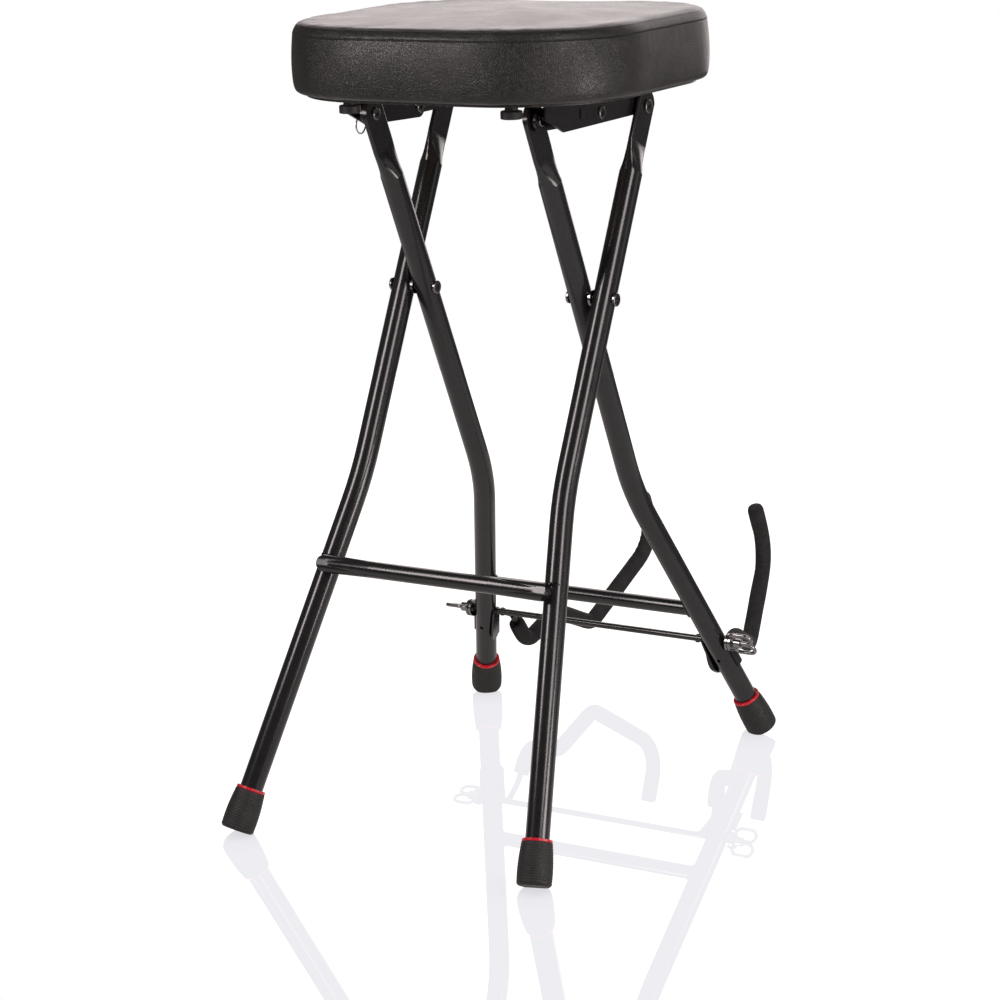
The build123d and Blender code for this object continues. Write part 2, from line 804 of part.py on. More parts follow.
def saddle():
    """A clip bent round the back of the leg, with an inboard cheek that rises to the rod."""
    inner = tube_radius + weld_gap
    outer = inner + sheet
    level = Plane(origin=in_saddle(0, 0, strap_bottom), x_dir=outboard, z_dir=leg_rise)
    sign = 1 if level.y_dir.dot(from_leg) > 0 else -1

    def channel(half_width, bend_radius):
        reach = half_width - saddle_front
        flat = RectangleRounded(2 * half_width, 2 * reach, bend_radius)
        return Pos(0, sign * saddle_front) * flat

    front_side = Pos(0, sign * (saddle_front - outer)) * Rectangle(2 * outer + overrun, 2 * outer)
    bent = channel(outer, saddle_bend_radius) - channel(inner, saddle_bend_radius - sheet) - front_side
    strap = extrude(level * bent, strap_top - strap_bottom)
    cheek_frame = Plane(origin=in_saddle(-inner, 0, 0), x_dir=from_leg, z_dir=-outboard)
    turn = 1 if cheek_frame.y_dir.dot(leg_rise) > 0 else -1
    outline = make_hull(
        [Circle(eye_radius).edge(), Circle(cheek_radius).edge().moved(Location((cheek_front, turn * cheek_level, 0)))]
    )
    cheek = extrude(cheek_frame * outline, sheet)
    rivet_hole = rod_along(
        in_saddle(0, tube_radius - overrun, strap_rivet_level),
        from_leg,
        saddle_rivet_radius + running_gap,
        2 * overrun + sheet,
    )
    return strap + cheek - rod_hole - rivet_hole


def saddle_rivet():
    start = in_saddle(0, tube_radius - tube_wall * 2, strap_rivet_level)
    shaft = rod_along(start, from_leg, saddle_rivet_radius, tube_wall * 2 + weld_gap + sheet)
    head = rod_along(
        in_saddle(0, tube_radius + weld_gap + sheet, strap_rivet_level),
        from_leg,
        saddle_rivet_head_radius,
        saddle_rivet_head_height,
    )
    return shaft + head


def wire_loop():
    """An oval of bent wire: two straight runs and a half turn at each end."""
    straight = loop_half_length - loop_half_width
    start = (-straight, loop_half_width, 0)
    end = (straight, loop_half_width, 0)
    nose = (loop_half_length, 0, 0)
    run = rod_along(start, vector(1, 0, 0), loop_wire_radius, 2 * straight)
    path = ThreePointArc(end, nose, (straight, -loop_half_width, 0))
    turn = sweep(Plane(origin=path @ 0, z_dir=path % 0) * Circle(loop_wire_radius), path=path)
    half = run + turn
    return half + Rot(0, 0, 180) * half


def wing_nut(angle):
    """A nose against the leg, a grooved collar and two open loops, turned to an angle on the rod."""
    nose = across_disc(nut_start, rod_y, rod_z, nut_nose_radius, nut_collar_start - nut_start)
    collar = across_disc(nut_collar_start, rod_y, rod_z, nut_collar_radius, nut_collar_length)
    groove_x = nut_collar_start + nut_collar_length / 2 - nut_groove_width / 2
    groove = across_disc(groove_x, rod_y, rod_z, nut_collar_radius + overrun, nut_groove_width)
    groove -= across_disc(groove_x, rod_y, rod_z, nut_collar_radius - nut_groove_depth, nut_groove_width)
    neck = across_disc(nut_collar_start + nut_collar_length, rod_y, rod_z, nut_neck_radius, nut_neck_length)
    turn = math.radians(angle)
    radial = vector(0, math.cos(turn), math.sin(turn))
    shape = nose + collar - groove + neck
    for side in (1, -1):
        centre = vector(nut_start + loop_reach, rod_y, rod_z) + radial * (loop_offset * side)
        shape += Plane(origin=centre, x_dir=across, z_dir=across.cross(radial)).location * wire_loop()
    bore_length = rod_half_length + body_gap - nut_start
    return shape - across_disc(nut_start, rod_y, rod_z, rod_radius + running_gap, bore_length)


nodes = {}


def pair(name, shape):
    """The right piece as modelled and its mirror image on the left, in a node each."""
    nodes[name + "_right"] = shape
    nodes[name + "_left"] = mirrored(shape)


def twin(name, shape):
    """Both copies of a small part in one node."""
    nodes[name] = shape + mirrored(shape)


pair("rear_leg", rear_leg)
pair("front_leg", front_leg)
pair("rear_foot", foot(rear_bend, rear_floor))
pair("front_foot", foot(front_bend, front_floor))
pair("rear_foot_ring", foot_ring(rear_bend, rear_floor))
pair("front_foot_ring", foot_ring(front_bend, front_floor))
nodes["front_crossbar"] = front_bar()
nodes["rear_crossbar"] = rear_bar()
twin("cross_rivets", cross_rivet())
twin("cross_washers", cross_washer())
twin("leg_top_rivets", leg_top_rivet())
pair("cradle_saddle", saddle())
twin("saddle_rivets", saddle_rivet())
nodes["seat_cushion"] = cushion()
nodes["seat_board"] = board()
right_bracket = bracket()
nodes["seat_bracket_right"] = right_bracket
lock_hole = across_disc(-bracket_out, lock_y, lock_z, lock_radius + running_gap, sheet)
nodes["seat_bracket_left"] = mirrored(right_bracket) - lock_hole
right_screws = Part() + [screw(x, y, bracket_top - sheet) for x, y in bracket_screw_places()]
twin("bracket_screws", right_screws)
twin("seat_rivets", seat_rivet())
twin("seat_washers", seat_washer())
twin("link_rivets", link_rivet())
twin("link_spacers", link_spacer())
pair("fold_link", link())
pair("link_head", link_head())
twin("seat_bumpers", bumper())
twin("bumper_screws", bumper_screw())
nodes["lock_pin"] = mirrored(lock_pin())
nodes["lock_pin_spring"] = mirrored(lock_spring())
nodes["pull_ring"] = mirrored(pull_ring())
nodes["cradle_rod"] = cradle_rod()
pair("cradle_arm", arm())
pair("cradle_foam", foam())
nodes["wing_nut_right"] = wing_nut(loop_turn_angle)
nodes["wing_nut_left"] = mirrored(wing_nut(left_loop_turn_angle))

boxes = [shape.bounding_box() for shape in nodes.values()]
shift = -(min(box.min.Y for box in boxes) + max(box.max.Y for box in boxes)) / 2

os.makedirs("parts", exist_ok=True)
for name, shape in nodes.items():
    export_step(Pos(0, shift, 0) * shape, f"parts/{name}.step")
print("shift", shift, "crossing", cross_y, cross_z, "link pivot", link_pivot_z, "rod", rod_y)
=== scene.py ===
import json
import math
import bpy
import numpy as np
from mathutils import Matrix, Vector
from mathutils.bvhtree import BVHTree

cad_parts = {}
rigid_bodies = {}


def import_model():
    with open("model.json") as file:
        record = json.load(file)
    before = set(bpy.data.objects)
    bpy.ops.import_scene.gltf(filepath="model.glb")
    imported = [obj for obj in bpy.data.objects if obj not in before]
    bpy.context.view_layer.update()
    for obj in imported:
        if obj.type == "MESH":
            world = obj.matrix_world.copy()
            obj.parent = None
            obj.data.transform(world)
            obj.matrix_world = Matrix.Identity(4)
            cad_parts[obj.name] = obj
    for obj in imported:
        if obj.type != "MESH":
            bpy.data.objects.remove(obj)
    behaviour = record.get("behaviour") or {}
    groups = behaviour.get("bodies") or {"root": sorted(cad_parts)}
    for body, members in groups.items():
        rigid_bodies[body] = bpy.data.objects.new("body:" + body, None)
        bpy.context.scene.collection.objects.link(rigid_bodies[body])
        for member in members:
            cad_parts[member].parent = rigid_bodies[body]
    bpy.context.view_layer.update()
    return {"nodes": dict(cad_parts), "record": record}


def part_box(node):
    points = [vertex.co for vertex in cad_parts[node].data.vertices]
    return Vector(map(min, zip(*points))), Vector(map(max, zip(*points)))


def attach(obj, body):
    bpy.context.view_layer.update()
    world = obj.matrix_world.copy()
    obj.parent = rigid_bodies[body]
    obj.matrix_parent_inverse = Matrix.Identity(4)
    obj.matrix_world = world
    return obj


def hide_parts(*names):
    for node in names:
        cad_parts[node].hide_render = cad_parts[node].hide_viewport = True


# Folding guitar stool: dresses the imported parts, adds the padded pieces, welds, floor, light and camera

for item in list(bpy.data.objects):  # Blender's own starting cube, lamp and camera
    bpy.data.objects.remove(item)
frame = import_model()
nodes = frame["nodes"]
print("frame loaded:", len(nodes), "nodes")


def boxOf(name):
    low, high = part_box(name)
    return np.array(low), np.array(high)


# Shader helpers


def newMaterial(name):
    material = bpy.data.materials.new(name)
    material.use_nodes = True
    tree = material.node_tree
    return material, tree, tree.nodes["Principled BSDF"]


def addNode(tree, kind, **values):
    node = tree.nodes.new(kind)
    for key, value in values.items():
        if hasattr(node, key):
            setattr(node, key, value)
        else:
            node.inputs[key.replace("_", " ")].default_value = value
    return node


def newGroup(name, inputs, outputs):
    group = bpy.data.node_groups.new(name, "ShaderNodeTree")
    for label, kind, value in inputs:
        socket = group.interface.new_socket(name=label, in_out="INPUT", socket_type=kind)
        if value is not None:
            socket.default_value = value
    for label, kind in outputs:
        group.interface.new_socket(name=label, in_out="OUTPUT", socket_type=kind)
    return group, group.nodes.new("NodeGroupInput"), group.nodes.new("NodeGroupOutput")


# Slow variation: noise on the given vector, spread between low and high.
def buildMottle():
    group, start, end = newGroup(
        "mottle",
        [("Vector", "NodeSocketVector", None), ("Scale", "NodeSocketFloat", 20.0),
         ("Low", "NodeSocketFloat", 0.3), ("High", "NodeSocketFloat", 0.4)],
        [("Value", "NodeSocketFloat")])
    noise = addNode(group, "ShaderNodeTexNoise", Detail=4.0, Roughness=0.6)
    spread = addNode(group, "ShaderNodeMapRange")
    spread.inputs["From Min"].default_value = 0.3
    spread.inputs["From Max"].default_value = 0.7
    group.links.new(start.outputs["Vector"], noise.inputs["Vector"])
    group.links.new(start.outputs["Scale"], noise.inputs["Scale"])
    group.links.new(noise.outputs["Fac"], spread.inputs["Value"])
    group.links.new(start.outputs["Low"], spread.inputs["To Min"])
    group.links.new(start.outputs["High"], spread.inputs["To Max"])
    group.links.new(spread.outputs["Result"], end.inputs["Value"])
    return group


# Leather grain: rounded cells, one minus the smooth distance to each cell's middle, broken by fine noise.
def buildPebble():
    group, start, end = newGroup(
        "pebbleGrain",
        [("Vector", "NodeSocketVector", None), ("Scale", "NodeSocketFloat", 700.0),
         ("Break", "NodeSocketFloat", 0.3)],
        [("Height", "NodeSocketFloat"), ("Crease", "NodeSocketFloat")])
    warp = addNode(group, "ShaderNodeTexNoise", Scale=160.0, Detail=2.0)
    centred = addNode(group, "ShaderNodeVectorMath", operation="SUBTRACT")
    centred.inputs[1].default_value = (0.5, 0.5, 0.5)
    small = addNode(group, "ShaderNodeVectorMath", operation="SCALE", Scale=0.0022)
    moved = addNode(group, "ShaderNodeVectorMath", operation="ADD")
    cells = addNode(group, "ShaderNodeTexVoronoi", feature="DISTANCE_TO_EDGE")
    fine = addNode(group, "ShaderNodeTexNoise", Scale=2400.0, Detail=2.0)
    rise = addNode(group, "ShaderNodeMapRange", interpolation_type="SMOOTHSTEP")
    rise.inputs["From Max"].default_value = 0.22
    rough = addNode(group, "ShaderNodeMath", operation="MULTIPLY_ADD")
    group.links.new(start.outputs["Vector"], warp.inputs["Vector"])
    group.links.new(warp.outputs["Color"], centred.inputs[0])
    group.links.new(centred.outputs[0], small.inputs[0])
    group.links.new(start.outputs["Vector"], moved.inputs[0])
    group.links.new(small.outputs[0], moved.inputs[1])
    group.links.new(moved.outputs[0], cells.inputs["Vector"])
    group.links.new(start.outputs["Scale"], cells.inputs["Scale"])
    group.links.new(start.outputs["Vector"], fine.inputs["Vector"])
    group.links.new(cells.outputs["Distance"], rise.inputs["Value"])
    group.links.new(fine.outputs["Fac"], rough.inputs[0])
    group.links.new(start.outputs["Break"], rough.inputs[1])
    group.links.new(rise.outputs["Result"], rough.inputs[2])
    group.links.new(rough.outputs[0], end.inputs["Height"])
    group.links.new(rise.outputs["Result"], end.inputs["Crease"])
    return group


mottle = buildMottle()
pebble = buildPebble()


def placeGroup(tree, group, vector, **values):
    node = tree.nodes.new("ShaderNodeGroup")
    node.node_tree = group
    tree.links.new(vector, node.inputs["Vector"])
    for key, value in values.items():
        node.inputs[key].default_value = value
    return node


def placeOf(tree):
    return tree.nodes.new("ShaderNodeTexCoord").outputs["Object"]


def linkBump(tree, height, normalInput, strength, distance, after=None):
    bump = addNode(tree, "ShaderNodeBump", Strength=strength, Distance=distance)
    tree.links.new(height, bump.inputs["Height"])
    if after is not None:
        tree.links.new(after, bump.inputs["Normal"])
    tree.links.new(bump.outputs["Normal"], normalInput)
    return bump.outputs["Normal"]


# Materials

coat = dict(colour=(0.006, 0.006, 0.0065, 1), roughLow=0.17, roughHigh=0.22, specular=0.5, peelScale=700.0,
            peelDepth=0.000004, tintScale=35.0)


# Satin black paint: faint orange peel, slow changes of gloss and tone.
def powderCoat(name, settings):
    material, tree, shader = newMaterial(name)
    place = placeOf(tree)
    shader.inputs["Specular IOR Level"].default_value = settings["specular"]
    rough = placeGroup(tree, mottle, place, Scale=settings["tintScale"], Low=settings["roughLow"],
                       High=settings["roughHigh"])
    tree.links.new(rough.outputs["Value"], shader.inputs["Roughness"])
    tone = placeGroup(tree, mottle, place, Scale=settings["tintScale"] * 3, Low=0.0, High=1.0)
    ramp = addNode(tree, "ShaderNodeMix", data_type="RGBA")
    ramp.inputs[6].default_value = settings["colour"]
    ramp.inputs[7].default_value = tuple(min(1, part * 1.5) for part in settings["colour"][:3]) + (1,)
    tree.links.new(tone.outputs["Value"], ramp.inputs["Factor"])
    tree.links.new(ramp.outputs[2], shader.inputs["Base Color"])
    peel = addNode(tree, "ShaderNodeTexNoise", Scale=settings["peelScale"], Detail=1.5)
    tree.links.new(place, peel.inputs["Vector"])
    linkBump(tree, peel.outputs["Fac"], shader.inputs["Normal"], 0.5, settings["peelDepth"])
    return material


plates = dict(dark=dict(colour=(0.22, 0.22, 0.22, 1), roughLow=0.16, roughHigh=0.24, brushScale=120.0),
              bright=dict(colour=(0.6, 0.6, 0.61, 1), roughLow=0.14, roughHigh=0.26, brushScale=120.0))


# Plated steel: metallic, with slow changes of gloss and a very fine grain.
def platedSteel(name, settings):
    material, tree, shader = newMaterial(name)
    place = placeOf(tree)
    shader.inputs["Metallic"].default_value = 1.0
    shader.inputs["Base Color"].default_value = settings["colour"]
    rough = placeGroup(tree, mottle, place, Scale=settings["brushScale"], Low=settings["roughLow"],
                       High=settings["roughHigh"])
    tree.links.new(rough.outputs["Value"], shader.inputs["Roughness"])
    fine = addNode(tree, "ShaderNodeTexNoise", Scale=settings["brushScale"] * 14, Detail=2.0)
    tree.links.new(place, fine.inputs["Vector"])
    linkBump(tree, fine.outputs["Fac"], shader.inputs["Normal"], 0.25, 0.00003)
    return material


softs = dict(rubber=dict(colour=(0.008, 0.008, 0.008), roughLow=0.5, roughHigh=0.68, cellScale=900.0,
                         cellDepth=0.00006, specular=0.35),
             foam=dict(colour=(0.009, 0.009, 0.009), roughLow=0.7, roughHigh=0.85, cellScale=700.0,
                       cellDepth=0.00025, specular=0.3),
             thread=dict(colour=(0.008, 0.008, 0.009), roughLow=0.5, roughHigh=0.7, cellScale=3000.0,
                         cellDepth=0.00005, specular=0.4))


# Rubber, foam and thread: matt, fine closed cells in the bump, dusty changes of tone.
def softBlack(name, settings):
    material, tree, shader = newMaterial(name)
    place = placeOf(tree)
    shader.inputs["Specular IOR Level"].default_value = settings["specular"]
    rough = placeGroup(tree, mottle, place, Scale=60.0, Low=settings["roughLow"], High=settings["roughHigh"])
    tree.links.new(rough.outputs["Value"], shader.inputs["Roughness"])
    dust = placeGroup(tree, mottle, place, Scale=110.0, Low=0.0, High=1.0)
    mix = addNode(tree, "ShaderNodeMix", data_type="RGBA")
    mix.inputs[6].default_value = settings["colour"] + (1,)
    mix.inputs[7].default_value = tuple(part * 1.9 for part in settings["colour"]) + (1,)
    tree.links.new(dust.outputs["Value"], mix.inputs["Factor"])
    tree.links.new(mix.outputs[2], shader.inputs["Base Color"])
    cells = addNode(tree, "ShaderNodeTexVoronoi", Scale=settings["cellScale"])
    tree.links.new(place, cells.inputs["Vector"])
    linkBump(tree, cells.outputs["Distance"], shader.inputs["Normal"], 0.6, settings["cellDepth"])
    return material


def redPlastic(name):
    material, tree, shader = newMaterial(name)
    place = placeOf(tree)
    shader.inputs["Base Color"].default_value = (0.42, 0.008, 0.018, 1)
    rough = placeGroup(tree, mottle, place, Scale=90.0, Low=0.2, High=0.32)
    tree.links.new(rough.outputs["Value"], shader.inputs["Roughness"])
    fine = addNode(tree, "ShaderNodeTexNoise", Scale=1500.0, Detail=2.0)
    tree.links.new(place, fine.inputs["Vector"])
    linkBump(tree, fine.outputs["Fac"], shader.inputs["Normal"], 0.3, 0.00004)
    return material


# Plain plywood: long grain along X, darker pores, and plies in the edge from the height.
def plywood(name):
    material, tree, shader = newMaterial(name)
    place = placeOf(tree)
    stretch = addNode(tree, "ShaderNodeMapping")
    stretch.inputs["Scale"].default_value = (3.0, 42.0, 400.0)
    grain = addNode(tree, "ShaderNodeTexNoise", Scale=4.0, Detail=6.0, Roughness=0.7)
    ramp = addNode(tree, "ShaderNodeValToRGB")
    ramp.color_ramp.elements[0].position = 0.35
    ramp.color_ramp.elements[0].color = (0.2, 0.12, 0.07, 1)
    ramp.color_ramp.elements[1].position = 0.7
    ramp.color_ramp.elements[1].color = (0.42, 0.29, 0.18, 1)
    tree.links.new(place, stretch.inputs["Vector"])
    tree.links.new(stretch.outputs["Vector"], grain.inputs["Vector"])
    tree.links.new(grain.outputs["Fac"], ramp.inputs["Fac"])
    tree.links.new(ramp.outputs["Color"], shader.inputs["Base Color"])
    rough = placeGroup(tree, mottle, place, Scale=50.0, Low=0.55, High=0.75)
    tree.links.new(rough.outputs["Value"], shader.inputs["Roughness"])
    linkBump(tree, grain.outputs["Fac"], shader.inputs["Normal"], 0.3, 0.0002)
    return material


hide = dict(colour=(0.009, 0.0085, 0.0085, 1), worn=(0.015, 0.014, 0.0135, 1), roughLow=0.29, roughHigh=0.37,
            specular=0.36, grainScale=620.0, grainDepth=0.00024, grooveReach=0.0012, grooveDepth=0.0006,
            wrinkleScale=(95.0, 95.0, 9.0), wrinkleReach=0.03, wrinkleDepth=0.0011)


# Black leatherette: pebbled grain, slow gloss changes, and under the stitched line at one height a groove
# and fine upright wrinkles that fade downwards
def leatherette(name, settings, seamHeight):
    material, tree, shader = newMaterial(name)
    place = placeOf(tree)
    shader.inputs["Specular IOR Level"].default_value = settings["specular"]
    grain = placeGroup(tree, pebble, place, Scale=settings["grainScale"], Break=0.25)
    rough = placeGroup(tree, mottle, place, Scale=26.0, Low=settings["roughLow"], High=settings["roughHigh"])
    tree.links.new(rough.outputs["Value"], shader.inputs["Roughness"])
    # The grain's creases are painted darker, down to 0.55 of the colour: painted shade in the creases.
    mix = addNode(tree, "ShaderNodeMix", data_type="RGBA")
    mix.inputs[6].default_value = tuple(part * 0.55 for part in settings["colour"][:3]) + (1,)
    mix.inputs[7].default_value = settings["colour"]
    tree.links.new(grain.outputs["Crease"], mix.inputs["Factor"])
    tone = placeGroup(tree, mottle, place, Scale=14.0, Low=0.0, High=1.0)
    second = addNode(tree, "ShaderNodeMix", data_type="RGBA")
    second.inputs[7].default_value = settings["worn"]
    tree.links.new(tone.outputs["Value"], second.inputs["Factor"])
    tree.links.new(mix.outputs[2], second.inputs[6])
    tree.links.new(second.outputs[2], shader.inputs["Base Color"])
    split = addNode(tree, "ShaderNodeSeparateXYZ")
    below = addNode(tree, "ShaderNodeMath", operation="SUBTRACT")
    below.inputs[0].default_value = seamHeight
    size = addNode(tree, "ShaderNodeMath", operation="ABSOLUTE")
    groove = addNode(tree, "ShaderNodeMapRange", interpolation_type="SMOOTHSTEP")
    groove.inputs["From Max"].default_value = settings["grooveReach"]
    tree.links.new(place, split.inputs[0])
    tree.links.new(split.outputs["Z"], below.inputs[1])
    tree.links.new(below.outputs[0], size.inputs[0])
    tree.links.new(size.outputs[0], groove.inputs["Value"])
    first = addNode(tree, "ShaderNodeBump", Strength=1.0, Distance=settings["grooveDepth"])
    tree.links.new(groove.outputs["Result"], first.inputs["Height"])
    stretch = addNode(tree, "ShaderNodeMapping")
    stretch.inputs["Scale"].default_value = settings["wrinkleScale"]
    folds = addNode(tree, "ShaderNodeTexNoise", Scale=1.0, Detail=2.5, Roughness=0.55)
    patches = placeGroup(tree, mottle, place, Scale=9.0, Low=-0.2, High=1.0)
    fade = addNode(tree, "ShaderNodeMapRange", interpolation_type="SMOOTHSTEP")
    fade.inputs["From Min"].default_value = settings["wrinkleReach"]
    fade.inputs["From Max"].default_value = 0.0
    share = addNode(tree, "ShaderNodeMath", operation="MULTIPLY", use_clamp=True)
    height = addNode(tree, "ShaderNodeMath", operation="MULTIPLY")
    tree.links.new(place, stretch.inputs["Vector"])
    tree.links.new(stretch.outputs["Vector"], folds.inputs["Vector"])
    tree.links.new(size.outputs[0], fade.inputs["Value"])
    tree.links.new(fade.outputs["Result"], share.inputs[0])
    tree.links.new(patches.outputs["Value"], share.inputs[1])
    tree.links.new(share.outputs[0], height.inputs[0])
    tree.links.new(folds.outputs["Fac"], height.inputs[1])
    wrinkled = addNode(tree, "ShaderNodeBump", Strength=0.9, Distance=settings["wrinkleDepth"])
    tree.links.new(height.outputs[0], wrinkled.inputs["Height"])
    tree.links.new(first.outputs["Normal"], wrinkled.inputs["Normal"])
    linkBump(tree, grain.outputs["Height"], shader.inputs["Normal"], 0.6, settings["grainDepth"],
             wrinkled.outputs["Normal"])
    return material


blackPaint = powderCoat("satinBlackPaint", coat)
darkPlate = platedSteel("blackPlate", plates["dark"])
brightPlate = platedSteel("brightPlate", plates["bright"])
footRubber = softBlack("footRubber", softs["rubber"])
foamBlack = softBlack("cellFoam", softs["foam"])
threadBlack = softBlack("blackThread", softs["thread"])
ringRed = redPlastic("redRing")
boardWood = plywood("plywood")

bySlot = dict(frame_coat=blackPaint, bright_steel=brightPlate, dark_steel=darkPlate, board_ply=boardWood,
              foot_rubber=footRubber, ring_red=ringRed, foam_black=foamBlack, seat_cover=blackPaint)
slotOf = {item["node"]: item["material_slot"] for item in frame["record"]["subparts"]}
for name, item in nodes.items():
    item.data.materials.clear()
    item.data.materials.append(bySlot[slotOf[name]])
print("materials done")


# Mesh helpers


def meshPiece(name, points, faces, material, body, smooth=True):
    mesh = bpy.data.meshes.new(name)
    mesh.from_pydata([tuple(point) for point in points], [], faces)
    mesh.update()
    if smooth:
        mesh.polygons.foreach_set("use_smooth", np.ones(len(mesh.polygons), dtype=bool))
    mesh.materials.append(material)
    piece = bpy.data.objects.new(name, mesh)
    bpy.context.collection.objects.link(piece)
    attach(piece, body)
    return piece


# Quads of a grid whose point (row, column) is number row times columns plus column.
def gridFaces(rows, columns, wrapRows=False, wrapColumns=True, flip=False):
    row = np.arange(rows if wrapRows else rows - 1)
    column = np.arange(columns if wrapColumns else columns - 1)
    rowGrid, columnGrid = np.meshgrid(row, column, indexing="ij")
    nextRow = (rowGrid + 1) % rows
    nextColumn = (columnGrid + 1) % columns
    quads = np.stack([rowGrid * columns + columnGrid, rowGrid * columns + nextColumn,
                      nextRow * columns + nextColumn, nextRow * columns + columnGrid], axis=-1).reshape(-1, 4)
    if flip:
        quads = quads[:, ::-1]
    return quads.tolist()


# A round tube: at each path point a ring of radius radii, in the plane across the path, turned as little
# as possible from one ring to the next.
def alongPath(path, radii, sides, closed=False):
    path = np.asarray(path, dtype=float)
    if closed:
        ahead = np.roll(path, -1, axis=0) - np.roll(path, 1, axis=0)
    else:
        ahead = np.gradient(path, axis=0)
    ahead /= np.linalg.norm(ahead, axis=1)[:, None]
    side = np.cross(ahead[0], (0.31, 0.52, 0.79))
    frames = []
    for step in ahead:  # carries the side vector along the path
        side = side - step * np.dot(side, step)
        side = side / np.linalg.norm(side)
        frames.append(side)
    side = np.array(frames)
    other = np.cross(ahead, side)
    angle = np.linspace(0, 2 * math.pi, sides, endpoint=False)
    ring = side[:, None] * np.cos(angle)[None, :, None] + other[:, None] * np.sin(angle)[None, :, None]
    radii = np.asarray(radii, dtype=float)
    if radii.ndim < 2:
        radii = np.broadcast_to(radii, (len(path),))[:, None] * np.ones((1, sides))
    return (path[:, None] + ring * radii[:, :, None]).reshape(-1, 3), ahead, side, other


def cappedFaces(rows, sides):
    faces = gridFaces(rows, sides, flip=False)
    faces.append(list(range(sides))[::-1])
    faces.append([(rows - 1) * sides + k for k in range(sides)])
    return faces


# Seat cushion

seat = dict(frontRadius=0.117, backRadius=0.092, notch=0.0151, crown=3.6, boardInset=0.0137, around=540,
            boardClearance=0.0003, seamDown=0.0046, seamRadius=0.00065, seamSink=0.0003, seamPoints=720,
            seamSides=8, stitchDown=0.0125, stitchPitch=0.0037, stitchLength=0.0027, stitchRadius=0.00036,
            # the side from the turned-under lower edge to the top edge: inset and height above the base
            side=((0.0095, 0.0), (0.0046, 0.0012), (0.0019, 0.0045), (0.0008, 0.01), (0.0002, 0.019),
                  (0.0, 0.031), (0.0006, 0.042), (0.0014, 0.051), (0.0021, 0.057), (0.0031, 0.0615),
                  (0.0049, 0.0652), (0.0078, 0.0673), (0.011, 0.0682)))
cloth = dict(voxel=0.005, pressure=4.0, cap=0.0009, quality=5, mass=0.3, stretch=30, shear=10, bending=4,
             seamHold=0.6, seamReach=0.004, frames=20)
cushionLow, cushionHigh = boxOf("seat_cushion")
boardLow, boardHigh = boxOf("seat_board")
boardTop = boardHigh[2] + seat["boardClearance"]  # the recess clears the board
halfWidth = (cushionHigh[0] - cushionLow[0]) / 2
frontY, backY = cushionLow[1], cushionHigh[1]


# Points and outward normals round the seat from above: straight front, corner arcs, flanks, back lobes
# and the hollow, spaced evenly by arc length and run anticlockwise from the middle of the front.
def seatOutline(count):
    frontR, backR = seat["frontRadius"], seat["backRadius"]
    cornerX, cornerY = halfWidth - frontR, frontY + frontR
    lobeX, lobeY = halfWidth - backR, backY - backR
    rise = backR - seat["notch"]
    hollowR = (lobeX**2 + rise**2 - backR**2) / (2 * (backR - rise))
    hollowY = lobeY + rise + hollowR
    turn = math.atan2(hollowY - lobeY, -lobeX)
    half = turn - math.pi / 2
    arcs = [("line", (0, frontY), (cornerX, frontY)),
            ("arc", (cornerX, cornerY), frontR, -math.pi / 2, math.pi / 2),
            ("line", (halfWidth, cornerY), (halfWidth, lobeY)), ("arc", (lobeX, lobeY), backR, 0, turn),
            ("arc", (0, hollowY), -hollowR, -math.pi / 2 + half, -2 * half),
            ("arc", (-lobeX, lobeY), backR, math.pi - turn, turn),
            ("line", (-halfWidth, lobeY), (-halfWidth, cornerY)),
            ("arc", (-cornerX, cornerY), frontR, math.pi, math.pi / 2),
            ("line", (-cornerX, frontY), (0, frontY))]
    lengths = [math.dist(a[1], a[2]) if a[0] == "line" else abs(a[2] * a[4]) for a in arcs]
    ends = np.cumsum(lengths)
    points, normals = [], []
    for distance in np.arange(count) / count * ends[-1]:
        index = int(np.searchsorted(ends, distance, side="right"))
        share = (distance - (ends[index] - lengths[index])) / lengths[index]
        arc = arcs[index]
        if arc[0] == "line":
            a, b = np.array(arc[1]), np.array(arc[2])
            along = (b - a) / np.linalg.norm(b - a)
            points.append(a + (b - a) * share)
            normals.append((along[1], -along[0]))
        else:
            angle = arc[3] + arc[4] * share
            out = np.array((math.cos(angle), math.sin(angle)))
            points.append(np.array(arc[1]) + out * abs(arc[2]))
            normals.append(out * (1 if arc[2] > 0 else -1))
    return np.array(points), np.array(normals), ends[-1]


# (inset, height) pairs from the recess over the board, round the lower edge and up the side to the top
# edge. The side bellies out a little, and the lower edge turns under.
def cushionProfile():
    base, top = cushionLow[2], cushionHigh[2]
    belly = [(inset, base + height) for inset, height in seat["side"]]
    recess = [(0.09, boardTop), (0.03, boardTop), (seat["boardInset"], boardTop), (seat["boardInset"], base)]
    return recess, belly, top


